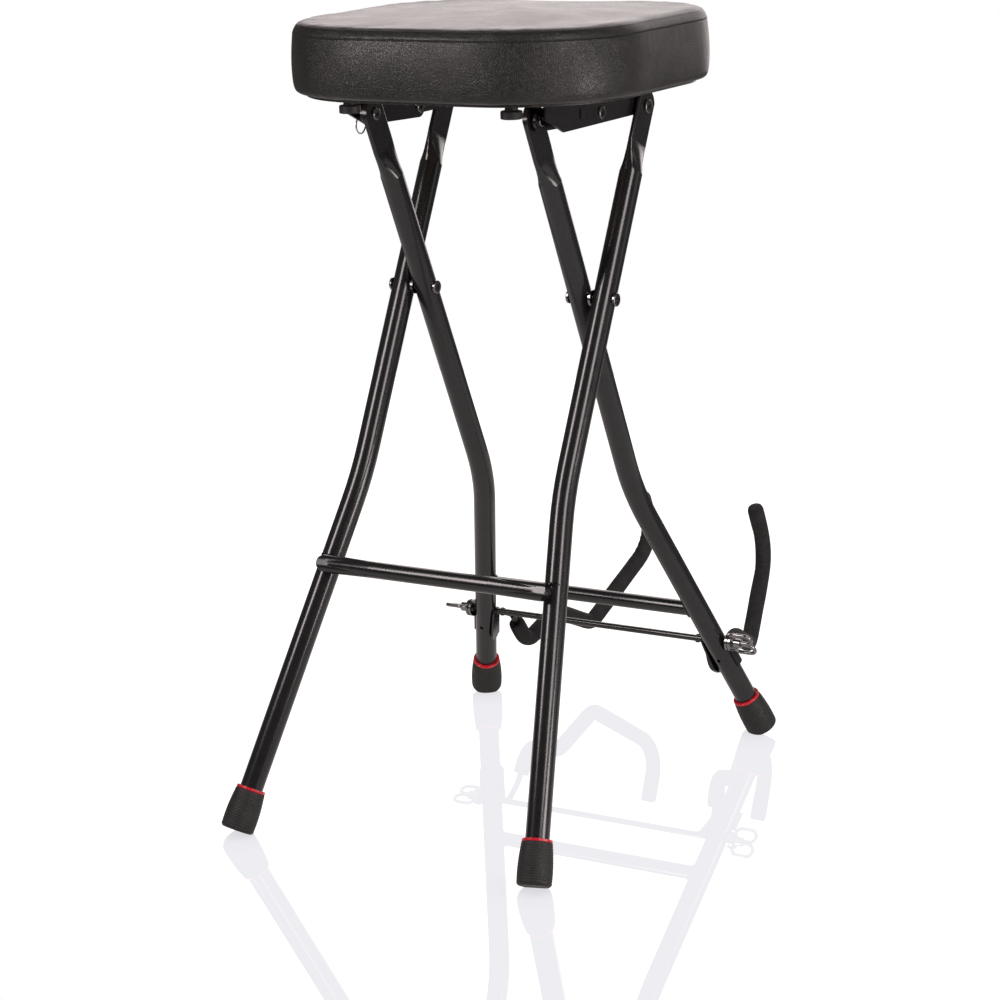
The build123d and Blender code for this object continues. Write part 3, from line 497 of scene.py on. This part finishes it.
# Rings of the outline drawn in by each inset; over the top the rings shrink towards the middle and rise
# on a shallow crown. The poles are closed with fans.
def cushionSurface():
    points, normals, length = seatOutline(seat["around"])
    recess, belly, top = cushionProfile()
    middle = np.array((0.0, (frontY + backY) / 2))
    rings = []
    for share in (0.12, 0.4, 0.75):
        flat = (points - normals * recess[0][0] - middle) * share + middle
        rings.append(np.column_stack([flat, np.full(len(flat), recess[0][1])]))
    for inset, height in recess + belly:
        rings.append(np.column_stack([points - normals * inset, np.full(len(points), height)]))
    rim = points - normals * belly[-1][0]
    for share in (0.96, 0.9, 0.82, 0.73, 0.63, 0.52, 0.41, 0.3, 0.2, 0.1):
        flat = (rim - middle) * share + middle
        radius = np.linalg.norm(flat - middle, axis=1)
        height = top - radius**2 / (2 * seat["crown"])
        low = belly[-1][1] + (height - belly[-1][1]) * (1 - share**14)
        rings.append(np.column_stack([flat, low]))
    grid = np.array(rings)
    count = len(points)
    faces = gridFaces(len(rings), count)
    poles = [(middle[0], middle[1], recess[0][1]), (middle[0], middle[1], top)]
    vertices = np.vstack([grid.reshape(-1, 3), poles])
    first, last = len(vertices) - 2, len(vertices) - 1
    base = (len(rings) - 1) * count
    faces += [[(k + 1) % count, k, first] for k in range(count)]
    faces += [[base + k, base + (k + 1) % count, last] for k in range(count)]
    return vertices, faces


# Remeshes the closed block to even cells, as a new object
def evenCells(piece, size):
    remesh = piece.modifiers.new("remesh", "REMESH")
    remesh.mode = "VOXEL"
    remesh.voxel_size = size
    graph = bpy.context.evaluated_depsgraph_get()
    even = bpy.data.meshes.new_from_object(piece.evaluated_get(graph))
    body = bpy.data.objects.new(piece.name + "Even", even)
    bpy.context.collection.objects.link(body)
    bpy.data.objects.remove(piece)
    return body


def pointsOf(mesh):
    flat = np.empty(len(mesh.vertices) * 3)
    mesh.vertices.foreach_get("co", flat)
    return flat.reshape(-1, 3)


# Blows the cushion up as cloth while the seam, the recess and the underside are held, then keeps each point
# within a soft cap of where it began: move = cap * tanh(distance / cap) along its own direction
def simulateCushion(body):
    start = pointsOf(body.data)
    seamZ = cushionHigh[2] - seat["stitchDown"]
    held = start[:, 2] < boardTop + 0.002
    seam = (np.abs(start[:, 2] - seamZ) < cloth["seamReach"]) & ~held
    pin = body.vertex_groups.new(name="pin")
    pin.add(np.nonzero(held)[0].tolist(), 1.0, "REPLACE")
    pin.add(np.nonzero(seam)[0].tolist(), cloth["seamHold"], "REPLACE")
    settings = body.modifiers.new("cloth", "CLOTH").settings
    settings.quality = cloth["quality"]
    settings.mass = cloth["mass"]
    settings.tension_stiffness = settings.compression_stiffness = cloth["stretch"]
    settings.shear_stiffness = cloth["shear"]
    settings.bending_stiffness = cloth["bending"]
    settings.use_pressure = True
    settings.uniform_pressure_force = cloth["pressure"]
    settings.vertex_group_mass = "pin"
    settings.effector_weights.gravity = 0
    for number in range(1, cloth["frames"] + 1):
        bpy.context.scene.frame_set(number)
    graph = bpy.context.evaluated_depsgraph_get()
    end = pointsOf(body.evaluated_get(graph).to_mesh())
    body.evaluated_get(graph).to_mesh_clear()
    move = end - start
    size = np.linalg.norm(move, axis=1)
    print("cloth moved up to", round(float(size.max()) * 1000, 2), "mm")
    capped = cloth["cap"] * np.tanh(size / cloth["cap"])
    move *= (capped / np.maximum(size, 1e-9))[:, None]
    body.modifiers.clear()
    body.vertex_groups.clear()
    body.data.vertices.foreach_set("co", (start + move).ravel())
    body.data.update()
    bpy.context.scene.frame_set(1)


def smoothMesh(piece, levels):
    subdivision = piece.modifiers.new("subdivision", "SUBSURF")
    subdivision.levels = subdivision.render_levels = levels


vertices, faces = cushionSurface()
blockMesh = bpy.data.meshes.new("cushionBlock")
blockMesh.from_pydata([tuple(v) for v in vertices], [], faces)
blockMesh.update()
cushion = bpy.data.objects.new("cushionBlock", blockMesh)
bpy.context.collection.objects.link(cushion)
cushion = evenCells(cushion, cloth["voxel"])
simulateCushion(cushion)
cushion.name = "seatCushion"
cushion.data.polygons.foreach_set("use_smooth", np.ones(len(cushion.data.polygons), dtype=bool))
cushion.data.materials.clear()
cushion.data.materials.append(leatherette("blackLeatherette", hide, cushionHigh[2] - seat["stitchDown"]))
smoothMesh(cushion, 1)
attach(cushion, "seat")
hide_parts("seat_cushion")
print("cushion done")


# Points of the cushion's skin at a height, all round, found by casting inwards from the outline.
def onCushion(height, count):
    bpy.context.view_layer.update()
    graph = bpy.context.evaluated_depsgraph_get()
    tree = BVHTree.FromObject(cushion, graph)
    points, normals, length = seatOutline(count)
    found, outs = [], []
    for point, normal in zip(points, normals):
        start = Vector((point[0] + normal[0] * 0.03, point[1] + normal[1] * 0.03, height))
        hit, out, face, distance = tree.ray_cast(start, Vector((-normal[0], -normal[1], 0)), 0.08)
        found.append(tuple(hit) if hit is not None else (point[0], point[1], height))
        outs.append(tuple(out) if out is not None else (normal[0], normal[1], 0))
    return np.array(found), np.array(outs), length


# The fine raised seam between top panel and side band: a thin closed tube half sunk in the skin.
def seamLine():
    points, outs, length = onCushion(cushionHigh[2] - seat["seamDown"], seat["seamPoints"])
    path = points - outs * seat["seamSink"]
    tube, ahead, side, other = alongPath(path, seat["seamRadius"], seat["seamSides"], closed=True)
    faces = gridFaces(len(path), seat["seamSides"], wrapRows=True)
    return meshPiece("seatSeam", tube, faces, cushion.data.materials[0], "seat")


# Thread dashes along the top-stitched line: short tapered tubes, each laid along the skin.
def stitches():
    length = seatOutline(8)[2]
    count = int(length / seat["stitchPitch"])
    points, outs, length = onCushion(cushionHigh[2] - seat["stitchDown"], count)
    ahead = np.roll(points, -1, axis=0) - np.roll(points, 1, axis=0)
    ahead /= np.linalg.norm(ahead, axis=1)[:, None]
    up = np.cross(ahead, outs)
    along = np.array((-0.5, -0.42, 0.42, 0.5)) * seat["stitchLength"]
    swell = np.array((0.25, 1.0, 1.0, 0.25)) * seat["stitchRadius"]
    sink = np.array((-0.9, 0.1, 0.1, -0.9)) * seat["stitchRadius"]
    angle = np.linspace(0, 2 * math.pi, 6, endpoint=False)
    vertices = (points[:, None, None] + ahead[:, None, None] * along[None, :, None, None]
                + outs[:, None, None] * (sink[None, :, None, None]
                                         + np.cos(angle)[None, None, :, None] * swell[None, :, None, None])
                + up[:, None, None] * np.sin(angle)[None, None, :, None] * swell[None, :, None, None])
    faces = repeatFaces(cappedFaces(len(along), len(angle)), count, len(along) * len(angle))
    return meshPiece("seatStitching", vertices.reshape(-1, 3), faces, threadBlack, "seat")


# The faces of one small shape again for each copy, with its point numbers moved on by points each time
def repeatFaces(single, copies, points):
    return [[index + number * points for index in face] for number in range(copies) for face in single]


margin = dict(outer=0.0131, wrap=0.0005, inner=0.03, depth=0.0007, ripple=0.0012, waves=41, around=360,
              lap=0.0006, gap=0.0001, staples=38, wire=0.0005, span=0.009, staplePlace=0.024)


# The cover's edge: an L-shaped band down the board's edge and in under it, with a slightly uneven inner
# edge, and a row of staples
def coverMargin():
    around = margin["around"]
    points, normals, length = seatOutline(around)
    walk = np.arange(around) / around * 2 * math.pi
    inner = margin["inner"] + margin["ripple"] * np.sin(walk * margin["waves"]) * np.cos(walk * 3)
    under, upper = boardLow[2], cushionLow[2] + margin["lap"]
    outer, wrapped = margin["outer"], margin["outer"] + margin["wrap"]
    lower, laid = under - margin["depth"], under - margin["gap"]
    corners = [(outer, upper), (outer, lower), (inner, lower), (inner, laid), (wrapped, laid), (wrapped, upper)]
    ring = [np.column_stack([points - normals * np.reshape(inset, (-1, 1)), np.full(around, height)])
            for inset, height in corners]
    grid = np.stack(ring, axis=1).reshape(-1, 3)
    faces = gridFaces(around, len(corners), wrapRows=True, wrapColumns=True, flip=True)
    meshPiece("coverMargin", grid, faces, cushion.data.materials[0], "seat", smooth=False)
    count = margin["staples"]
    points, normals, length = seatOutline(count)
    along = np.column_stack([-normals[:, 1], normals[:, 0], np.zeros(count)])
    out = np.column_stack([normals, np.zeros(count)])
    middle = np.column_stack([points - normals * margin["staplePlace"], np.full(count, lower)])
    half, wire = margin["span"] / 2, margin["wire"]
    box = np.array([(x, y, z) for x in (-half, half) for y in (-wire, wire) for z in (-wire, wire * 0.2)])
    vertices = (middle[:, None] + along[:, None] * box[None, :, :1] + out[:, None] * box[None, :, 1:2]
                + np.array((0, 0, 1.0)) * box[None, :, 2:])
    single = [[0, 1, 3, 2], [4, 6, 7, 5], [0, 4, 5, 1], [2, 3, 7, 6], [0, 2, 6, 4], [1, 5, 7, 3]]
    meshPiece("coverStaples", vertices.reshape(-1, 3), repeatFaces(single, count, 8), brightPlate, "seat",
              smooth=False)


seamLine()
stitches()
coverMargin()
print("seams and cover margin done")

# Foam sleeves

foam = dict(radius=0.0088, setback=0.012, sides=28, step=0.0022, wave=0.00018, foldDepth=0.0007,
            foldPitch=0.0075,
            # the arm's corners: distance from the middle, then steps back and up from the rod to each
            spread=(0.1186, 0.1138, 0.1082, 0.0965, 0.0696, 0.0691),
            run=(0.0264, 0.0217, 0.0556, 0.0604, 0.1044, -0.0272),
            rise=(-0.0103, -0.0372, 0.0205, -0.0289, 0.0738, 0.0572), bends=(0.015, 0.016, 0.013, 0.04))
rodLow, rodHigh = boxOf("cradle_rod")
rodY, rodZ = (rodLow[1] + rodHigh[1]) / 2, (rodLow[2] + rodHigh[2]) / 2


# The arm's centre line: straight runs between corners, each corner rounded by an arc of its bend radius.
def armPath():
    corners = np.column_stack([foam["spread"], rodY + np.cumsum(foam["run"]), rodZ + np.cumsum(foam["rise"])])
    first = corners[1] - corners[0]
    corners[0] = corners[0] + first / np.linalg.norm(first) * foam["setback"]
    path = [corners[0]]
    for before, corner, after, radius in zip(corners, corners[1:], corners[2:], foam["bends"]):
        back = (before - corner) / np.linalg.norm(before - corner)
        on = (after - corner) / np.linalg.norm(after - corner)
        half = math.acos(float(np.dot(back, on))) / 2
        reach = radius / math.tan(half)
        centre = corner + (back + on) / np.linalg.norm(back + on) * radius / math.sin(half)
        start, end = corner + back * reach, corner + on * reach
        path.append(start)
        sweep = math.pi - 2 * half
        out, side = start - centre, end - centre
        for share in np.linspace(0, 1, max(4, int(radius * sweep / foam["step"])))[1:]:
            a, b = math.sin((1 - share) * sweep) / math.sin(sweep), math.sin(share * sweep) / math.sin(sweep)
            path.append(centre + out * a + side * b)
    path.append(corners[-1])
    even = [path[0]]
    for a, b in zip(path, path[1:]):
        count = max(1, int(np.linalg.norm(b - a) / foam["step"]))
        even += [a + (b - a) * (k + 1) / count for k in range(count)]
    return np.array(even)


# Tube along the arm. Its radius swells and sinks a little with slow waves along and round it, and is
# gathered in fine folds on the inside of each bend. Both ends are rounded off and closed.
def foamSleeve(sideName, sign):
    path = armPath()
    ahead = np.gradient(path, axis=0)
    ahead /= np.linalg.norm(ahead, axis=1)[:, None]
    curl = np.gradient(ahead, axis=0) / foam["step"]
    bend = np.linalg.norm(curl, axis=1)
    rows = len(path)
    tube, ahead, side, other = alongPath(path, foam["radius"], foam["sides"])
    angle = np.linspace(0, 2 * math.pi, foam["sides"], endpoint=False)
    ring = side[:, None] * np.cos(angle)[None, :, None] + other[:, None] * np.sin(angle)[None, :, None]
    inner = np.einsum("rk,rsk->rs", curl / np.maximum(bend, 1e-6)[:, None], ring)
    distance = np.arange(rows) * foam["step"]
    wave = foam["wave"] * np.sin(distance * 95 + sign)[:, None] * np.cos(2 * angle + distance[:, None] * 30)
    folds = np.clip(inner, 0, 1) ** 2 * np.clip(bend / 25, 0, 1)[:, None] * foam["foldDepth"]
    folds = folds * np.sin(distance * 2 * math.pi / foam["foldPitch"])[:, None]
    radius = foam["radius"] * (1 - 0.035 * np.clip(bend / 40, 0, 1)[:, None]) + wave - folds
    endTaper = np.ones(rows)
    endTaper[0], endTaper[1] = 0.9, 0.98
    endTaper[-1], endTaper[-2] = 0.88, 0.97
    radius = radius * endTaper[:, None]
    points = path[:, None] + ring * radius[:, :, None]
    points[:, :, 0] *= sign
    lip = points[[0]].copy()
    centre = path[0] * (sign, 1, 1)
    lip[0] = centre + (points[0] - centre) * 0.45 + (path[2] - path[0]) * (sign, 1, 1) * 0.3
    tip = points[[-1]].copy()
    tipCentre = path[-1] * (sign, 1, 1)
    tip[0] = tipCentre + (points[-1] - tipCentre) * 0.5
    allRows = np.concatenate([lip, points, tip])
    faces = cappedFaces(len(allRows), foam["sides"])
    if sign < 0:
        faces = [face[::-1] for face in faces]
    piece = meshPiece("foamSleeve" + sideName, allRows.reshape(-1, 3), faces, foamBlack, "cradle")
    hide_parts("cradle_foam_" + sideName.lower())
    return piece


foamSleeve("Right", 1)
foamSleeve("Left", -1)
print("foam done")

# Welds

weld = dict(radius=0.0017, ripple=0.12, pitch=0.0024, sides=10, legRadius=0.0111, rearBarRadius=0.0075,
            rodRadius=0.0033, armStart=0.1152, armRadius=0.0034, armBead=0.0011, spread=42.0, gap=0.0011,
            barRadius=0.0065, barStraight=0.0023)
shiftY = rodY - 0.19336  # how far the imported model's middle lies from the leg points


# A weld bead: a tube on the path whose radius ripples like stacked coins.
def beadAlong(name, path, radius, body, closed=True):
    path = np.asarray(path)
    gaps = np.linalg.norm(np.diff(path, axis=0), axis=1)
    distance = np.concatenate([[0], np.cumsum(gaps)])
    size = radius * (1 + weld["ripple"] * np.abs(np.sin(distance * math.pi / weld["pitch"])))
    if not closed:
        ends = np.minimum(distance, distance[-1] - distance) / (2 * radius)
        size = size * np.sqrt(np.clip(ends, 0.06, 1))
    points, ahead, side, other = alongPath(path, size, weld["sides"], closed)
    rows, sides = len(path), weld["sides"]
    faces = gridFaces(rows, sides, wrapRows=True) if closed else cappedFaces(rows, sides)
    return meshPiece(name, points, faces, blackPaint, body)


# The path mirrored in X for the left side, and run backwards so that its tube keeps facing out.
def turnTo(sign, path):
    path = np.asarray(path) * (sign, 1, 1)
    return path if sign > 0 else path[::-1]


# Where a round bar meets the outside of another: for each angle round the bar, the distance along it at
# which it is at the other's radius from the other's axis, from a quadratic
def meetingCurve(start, direction, radius, axisPoint, axisDirection, axisRadius, first, count=64):
    direction = direction / np.linalg.norm(direction)
    axisDirection = axisDirection / np.linalg.norm(axisDirection)
    side = np.cross(direction, (0.3, 0.2, 0.93))
    side /= np.linalg.norm(side)
    other = np.cross(direction, side)
    angle = np.linspace(0, 2 * math.pi, count, endpoint=False)[:, None]
    base = start + radius * (np.cos(angle) * side + np.sin(angle) * other)
    offset = base - axisPoint
    flatDirection = direction - axisDirection * (direction @ axisDirection)
    flatOffset = offset - np.outer(offset @ axisDirection, axisDirection)
    a = flatDirection @ flatDirection
    b = 2 * flatOffset @ flatDirection
    c = np.einsum("ij,ij->i", flatOffset, flatOffset) - axisRadius**2
    root = np.sqrt(np.maximum(b * b - 4 * a * c, 0))
    distance = (-b - root) / (2 * a) if first else (-b + root) / (2 * a)
    return base + np.outer(distance, direction)


# Where each leg's centre line meets the floor, and where it bends
legFloor = dict(rear=np.array((0.1668, 0.2433 + shiftY, 0.0)),
                front=np.array((0.1626, -0.2433 + shiftY, 0.0)))
legBend = dict(rear=np.array((0.0853, 0.1142 + shiftY, 0.2779)),
               front=np.array((0.1103, -0.0745 + shiftY, 0.3207)))


def rearBarWelds():
    low, high = boxOf("rear_crossbar")
    start = np.array((0.0, (low[1] + high[1]) / 2, (low[2] + high[2]) / 2))
    path = meetingCurve(start, np.array((1.0, 0, 0)), weld["rearBarRadius"], legFloor["rear"],
                        legBend["rear"] - legFloor["rear"], weld["legRadius"], True)
    for sign, label in ((1, "Right"), (-1, "Left")):
        beadAlong("rearBarWeld" + label, turnTo(sign, path), weld["radius"], "rear_frame")


def armWelds():
    start = np.array((weld["armStart"], rodY, rodZ))
    on = np.array((foam["spread"][0], rodY + foam["run"][0], rodZ + foam["rise"][0]))
    path = meetingCurve(start, on - start, weld["armRadius"], start, np.array((1.0, 0, 0)),
                        weld["rodRadius"], False)
    for sign, label in ((1, "Right"), (-1, "Left")):
        beadAlong("armWeld" + label, turnTo(sign, path), weld["armBead"], "cradle")


# Fillets above and below the flattened ends of the front bar: for each angle round the leg's front, the
# first place along the leg where the bar's rounded section is a bead's width away
def frontBarWelds():
    low, high = boxOf("front_crossbar")
    floorPoint, along = legFloor["front"], legBend["front"] - legFloor["front"]
    along = along / np.linalg.norm(along)
    facing = np.cross((1.0, 0, 0), along)
    facing = facing / np.linalg.norm(facing) * -np.sign(np.cross((1.0, 0, 0), along)[1])
    outward = np.cross(along, facing)
    outward = outward * np.sign(outward[0])
    wide = np.array((0, -facing[2], facing[1]))
    middle = np.array((0, (low[1] + high[1]) / 2, (low[2] + high[2]) / 2))
    angle = np.radians(np.linspace(-weld["spread"], weld["spread"], 24))
    skin = weld["legRadius"] * (np.cos(angle)[:, None] * facing + np.sin(angle)[:, None] * outward)
    for side, place in ((1, "Upper"), (-1, "Lower")):
        reach = (middle[2] - floorPoint[2]) / along[2] + side * np.linspace(0, 0.02, 400)
        points = floorPoint + reach[None, :, None] * along + skin[:, None]
        offset = points - middle
        deep = np.abs(offset @ facing)
        tall = np.maximum(np.abs(offset @ wide) - weld["barStraight"], 0)
        away = np.hypot(deep, tall) - weld["barRadius"]
        pick = np.argmax(away > weld["gap"], axis=1)
        path = points[np.arange(len(angle)), pick] + facing * weld["gap"] * 0.4
        for sign, label in ((1, "Right"), (-1, "Left")):
            beadAlong("frontBarWeld" + place + label, turnTo(sign, path), weld["radius"], "front_frame",
                      closed=False)


rearBarWelds()
armWelds()
frontBarWelds()
print("welds done")

# Floor, light and camera

stage = dict(mirror=0.15, mirrorTint=(1.0, 1.06, 0.8), shade=0.2, shadeReach=0.04, floorHalf=6.0,
             floorColour=0.75, floorRough=0.6, floorGlossy=(0.75, 0.12), sheetReach=(0.8, 1.9),
             worldGlossy=0.12, worldDiffuse=0.35, warm=(1.0, 0.91, 0.9))


# A pale floor. The camera sees it as white as the backdrop, with a faint tinted mirror: glow = (1 - mirror
# * tint) / (1 - mirror), with a painted contact shadow close to the feet from ambient occlusion. Glossy rays
#   see a pale sheet that fades outwards, and
# other rays a plain pale floor
def floorAndWorld():
    mesh = bpy.data.meshes.new("floor")
    half = stage["floorHalf"]
    corners = [(-half, -half, 0), (half, -half, 0), (half, half, 0), (-half, half, 0)]
    mesh.from_pydata(corners, [], [(0, 1, 2, 3)])
    floor = bpy.data.objects.new("floor", mesh)
    bpy.context.collection.objects.link(floor)
    material, tree, shader = newMaterial("paleFloor")
    shader.inputs["Base Color"].default_value = (stage["floorColour"],) * 3 + (1,)
    shader.inputs["Roughness"].default_value = stage["floorRough"]
    shader.inputs["Specular IOR Level"].default_value = 0.0
    output = tree.nodes["Material Output"]
    level = tuple((1 - stage["mirror"] * part) / (1 - stage["mirror"]) for part in stage["mirrorTint"])
    shade = addNode(tree, "ShaderNodeAmbientOcclusion", samples=8)
    shade.inputs["Distance"].default_value = stage["shadeReach"]
    spread = addNode(tree, "ShaderNodeMapRange")
    spread.inputs["To Min"].default_value = 1 - stage["shade"]
    glow = addNode(tree, "ShaderNodeEmission", Color=level + (1,))
    mirror = addNode(tree, "ShaderNodeBsdfGlossy", Color=stage["mirrorTint"] + (1,), Roughness=0.0)
    seen = addNode(tree, "ShaderNodeMixShader")
    seen.inputs[0].default_value = stage["mirror"]
    sheet = addNode(tree, "ShaderNodeEmission", Color=stage["warm"] + (1,))
    far = addNode(tree, "ShaderNodeVectorMath", operation="LENGTH")
    fall = addNode(tree, "ShaderNodeMapRange", interpolation_type="SMOOTHSTEP")
    fall.inputs["From Min"].default_value, fall.inputs["From Max"].default_value = stage["sheetReach"]
    fall.inputs["To Min"].default_value, fall.inputs["To Max"].default_value = stage["floorGlossy"]
    path = tree.nodes.new("ShaderNodeLightPath")
    glossy = addNode(tree, "ShaderNodeMixShader")
    camera = addNode(tree, "ShaderNodeMixShader")
    tree.links.new(shade.outputs["AO"], spread.inputs["Value"])
    tree.links.new(spread.outputs["Result"], glow.inputs["Strength"])
    tree.links.new(glow.outputs[0], seen.inputs[1])
    tree.links.new(mirror.outputs[0], seen.inputs[2])
    tree.links.new(path.outputs["Is Glossy Ray"], glossy.inputs[0])
    tree.links.new(shader.outputs[0], glossy.inputs[1])
    tree.links.new(placeOf(tree), far.inputs[0])
    tree.links.new(far.outputs["Value"], fall.inputs["Value"])
    tree.links.new(fall.outputs["Result"], sheet.inputs["Strength"])
    tree.links.new(sheet.outputs[0], glossy.inputs[2])
    tree.links.new(path.outputs["Is Camera Ray"], camera.inputs[0])
    tree.links.new(glossy.outputs[0], camera.inputs[1])
    tree.links.new(seen.outputs[0], camera.inputs[2])
    tree.links.new(camera.outputs[0], output.inputs["Surface"])
    mesh.materials.append(material)
    world = bpy.data.worlds.new("studio")
    bpy.context.scene.world = world
    world.use_nodes = True
    tree = world.node_tree
    plain = tree.nodes["Background"]
    plain.inputs["Color"].default_value = (1, 1, 1, 1)
    plain.inputs["Strength"].default_value = stage["worldDiffuse"]
    dim = addNode(tree, "ShaderNodeBackground", Color=stage["warm"] + (1,), Strength=stage["worldGlossy"])
    white = addNode(tree, "ShaderNodeBackground", Color=(1, 1, 1, 1), Strength=1.0)
    path = tree.nodes.new("ShaderNodeLightPath")
    either = addNode(tree, "ShaderNodeMath", operation="MAXIMUM")
    inner = addNode(tree, "ShaderNodeMixShader")
    outer = addNode(tree, "ShaderNodeMixShader")
    tree.links.new(path.outputs["Is Camera Ray"], either.inputs[0])
    tree.links.new(path.outputs["Is Singular Ray"], either.inputs[1])  # the floor's sharp mirror
    tree.links.new(path.outputs["Is Glossy Ray"], inner.inputs[0])
    tree.links.new(plain.outputs[0], inner.inputs[1])
    tree.links.new(dim.outputs[0], inner.inputs[2])
    tree.links.new(either.outputs[0], outer.inputs[0])
    tree.links.new(inner.outputs[0], outer.inputs[1])
    tree.links.new(white.outputs[0], outer.inputs[2])
    tree.links.new(outer.outputs[0], tree.nodes["World Output"].inputs["Surface"])


# A soft box: its power is the wanted brightness times its area times pi
def areaLight(name, place, target, size, brightness):
    data = bpy.data.lights.new(name, "AREA")
    data.shape = "RECTANGLE"
    data.size, data.size_y = size
    data.color = stage["warm"]
    data.energy = brightness * size[0] * size[1] * math.pi
    lamp = bpy.data.objects.new(name, data)
    lamp.location = place
    lamp.rotation_euler = (Vector(target) - Vector(place)).to_track_quat("-Z", "Y").to_euler()
    bpy.context.collection.objects.link(lamp)


floorAndWorld()
# Each soft box: place, target, width and height, brightness
lamps = dict(
    leftBox=((-0.52, -1.02, 1.02), (0.08, -0.2, 0.35), (0.3, 0.7), 14.0),
    rightBox=((1.26, -0.8, 1.24), (0.1, -0.15, 0.4), (0.46, 0.9), 9.0),
    lowBox=((1.6, -0.32, 0.38), (0.15, -0.27, 0.72), (0.6, 0.55), 12.0),
    backPanel=((-0.6, 2.5, 1.5), (0, 0, 0.75), (3.2, 2.6), 2.1),
    rightPanel=((2.4, 1.0, 0.9), (0, 0, 0.6), (1.2, 1.4), 0.6),
)
for name, (place, target, size, brightness) in lamps.items():
    areaLight(name, place, target, size, brightness)

# Angles in degrees, focal length and image width in pixels of the photograph, sensor in millimetres
view = dict(place=(1.3226, -2.272896, 0.966603), azimuth=30.216, pitch=14.469, roll=-1.771, focal=2799.6,
            image=1000, sensor=36)


# The camera fitted to the photograph: forward from azimuth and pitch, then rolled about it.
def placeCamera():
    azimuth, pitch, roll = (math.radians(view[key]) for key in ("azimuth", "pitch", "roll"))
    level = math.cos(pitch)
    ahead = Vector((-math.sin(azimuth) * level, math.cos(azimuth) * level, -math.sin(pitch)))
    right = Vector((math.cos(azimuth), math.sin(azimuth), 0))
    up = right.cross(ahead)
    rolledRight = right * math.cos(roll) + up * math.sin(roll)
    rolledUp = up * math.cos(roll) - right * math.sin(roll)
    data = bpy.data.cameras.new("camera")
    data.sensor_fit = "HORIZONTAL"
    data.sensor_width = view["sensor"]
    data.lens = view["sensor"] * view["focal"] / view["image"]
    camera = bpy.data.objects.new("camera", data)
    place = Vector(view["place"]) + Vector((0, shiftY, 0))
    turn = Matrix((rolledRight, rolledUp, -ahead)).transposed().to_4x4()
    camera.matrix_world = Matrix.Translation(place) @ turn
    bpy.context.collection.objects.link(camera)
    bpy.context.scene.camera = camera


placeCamera()
bpy.context.scene.view_settings.view_transform = "Standard"
print("scene done")
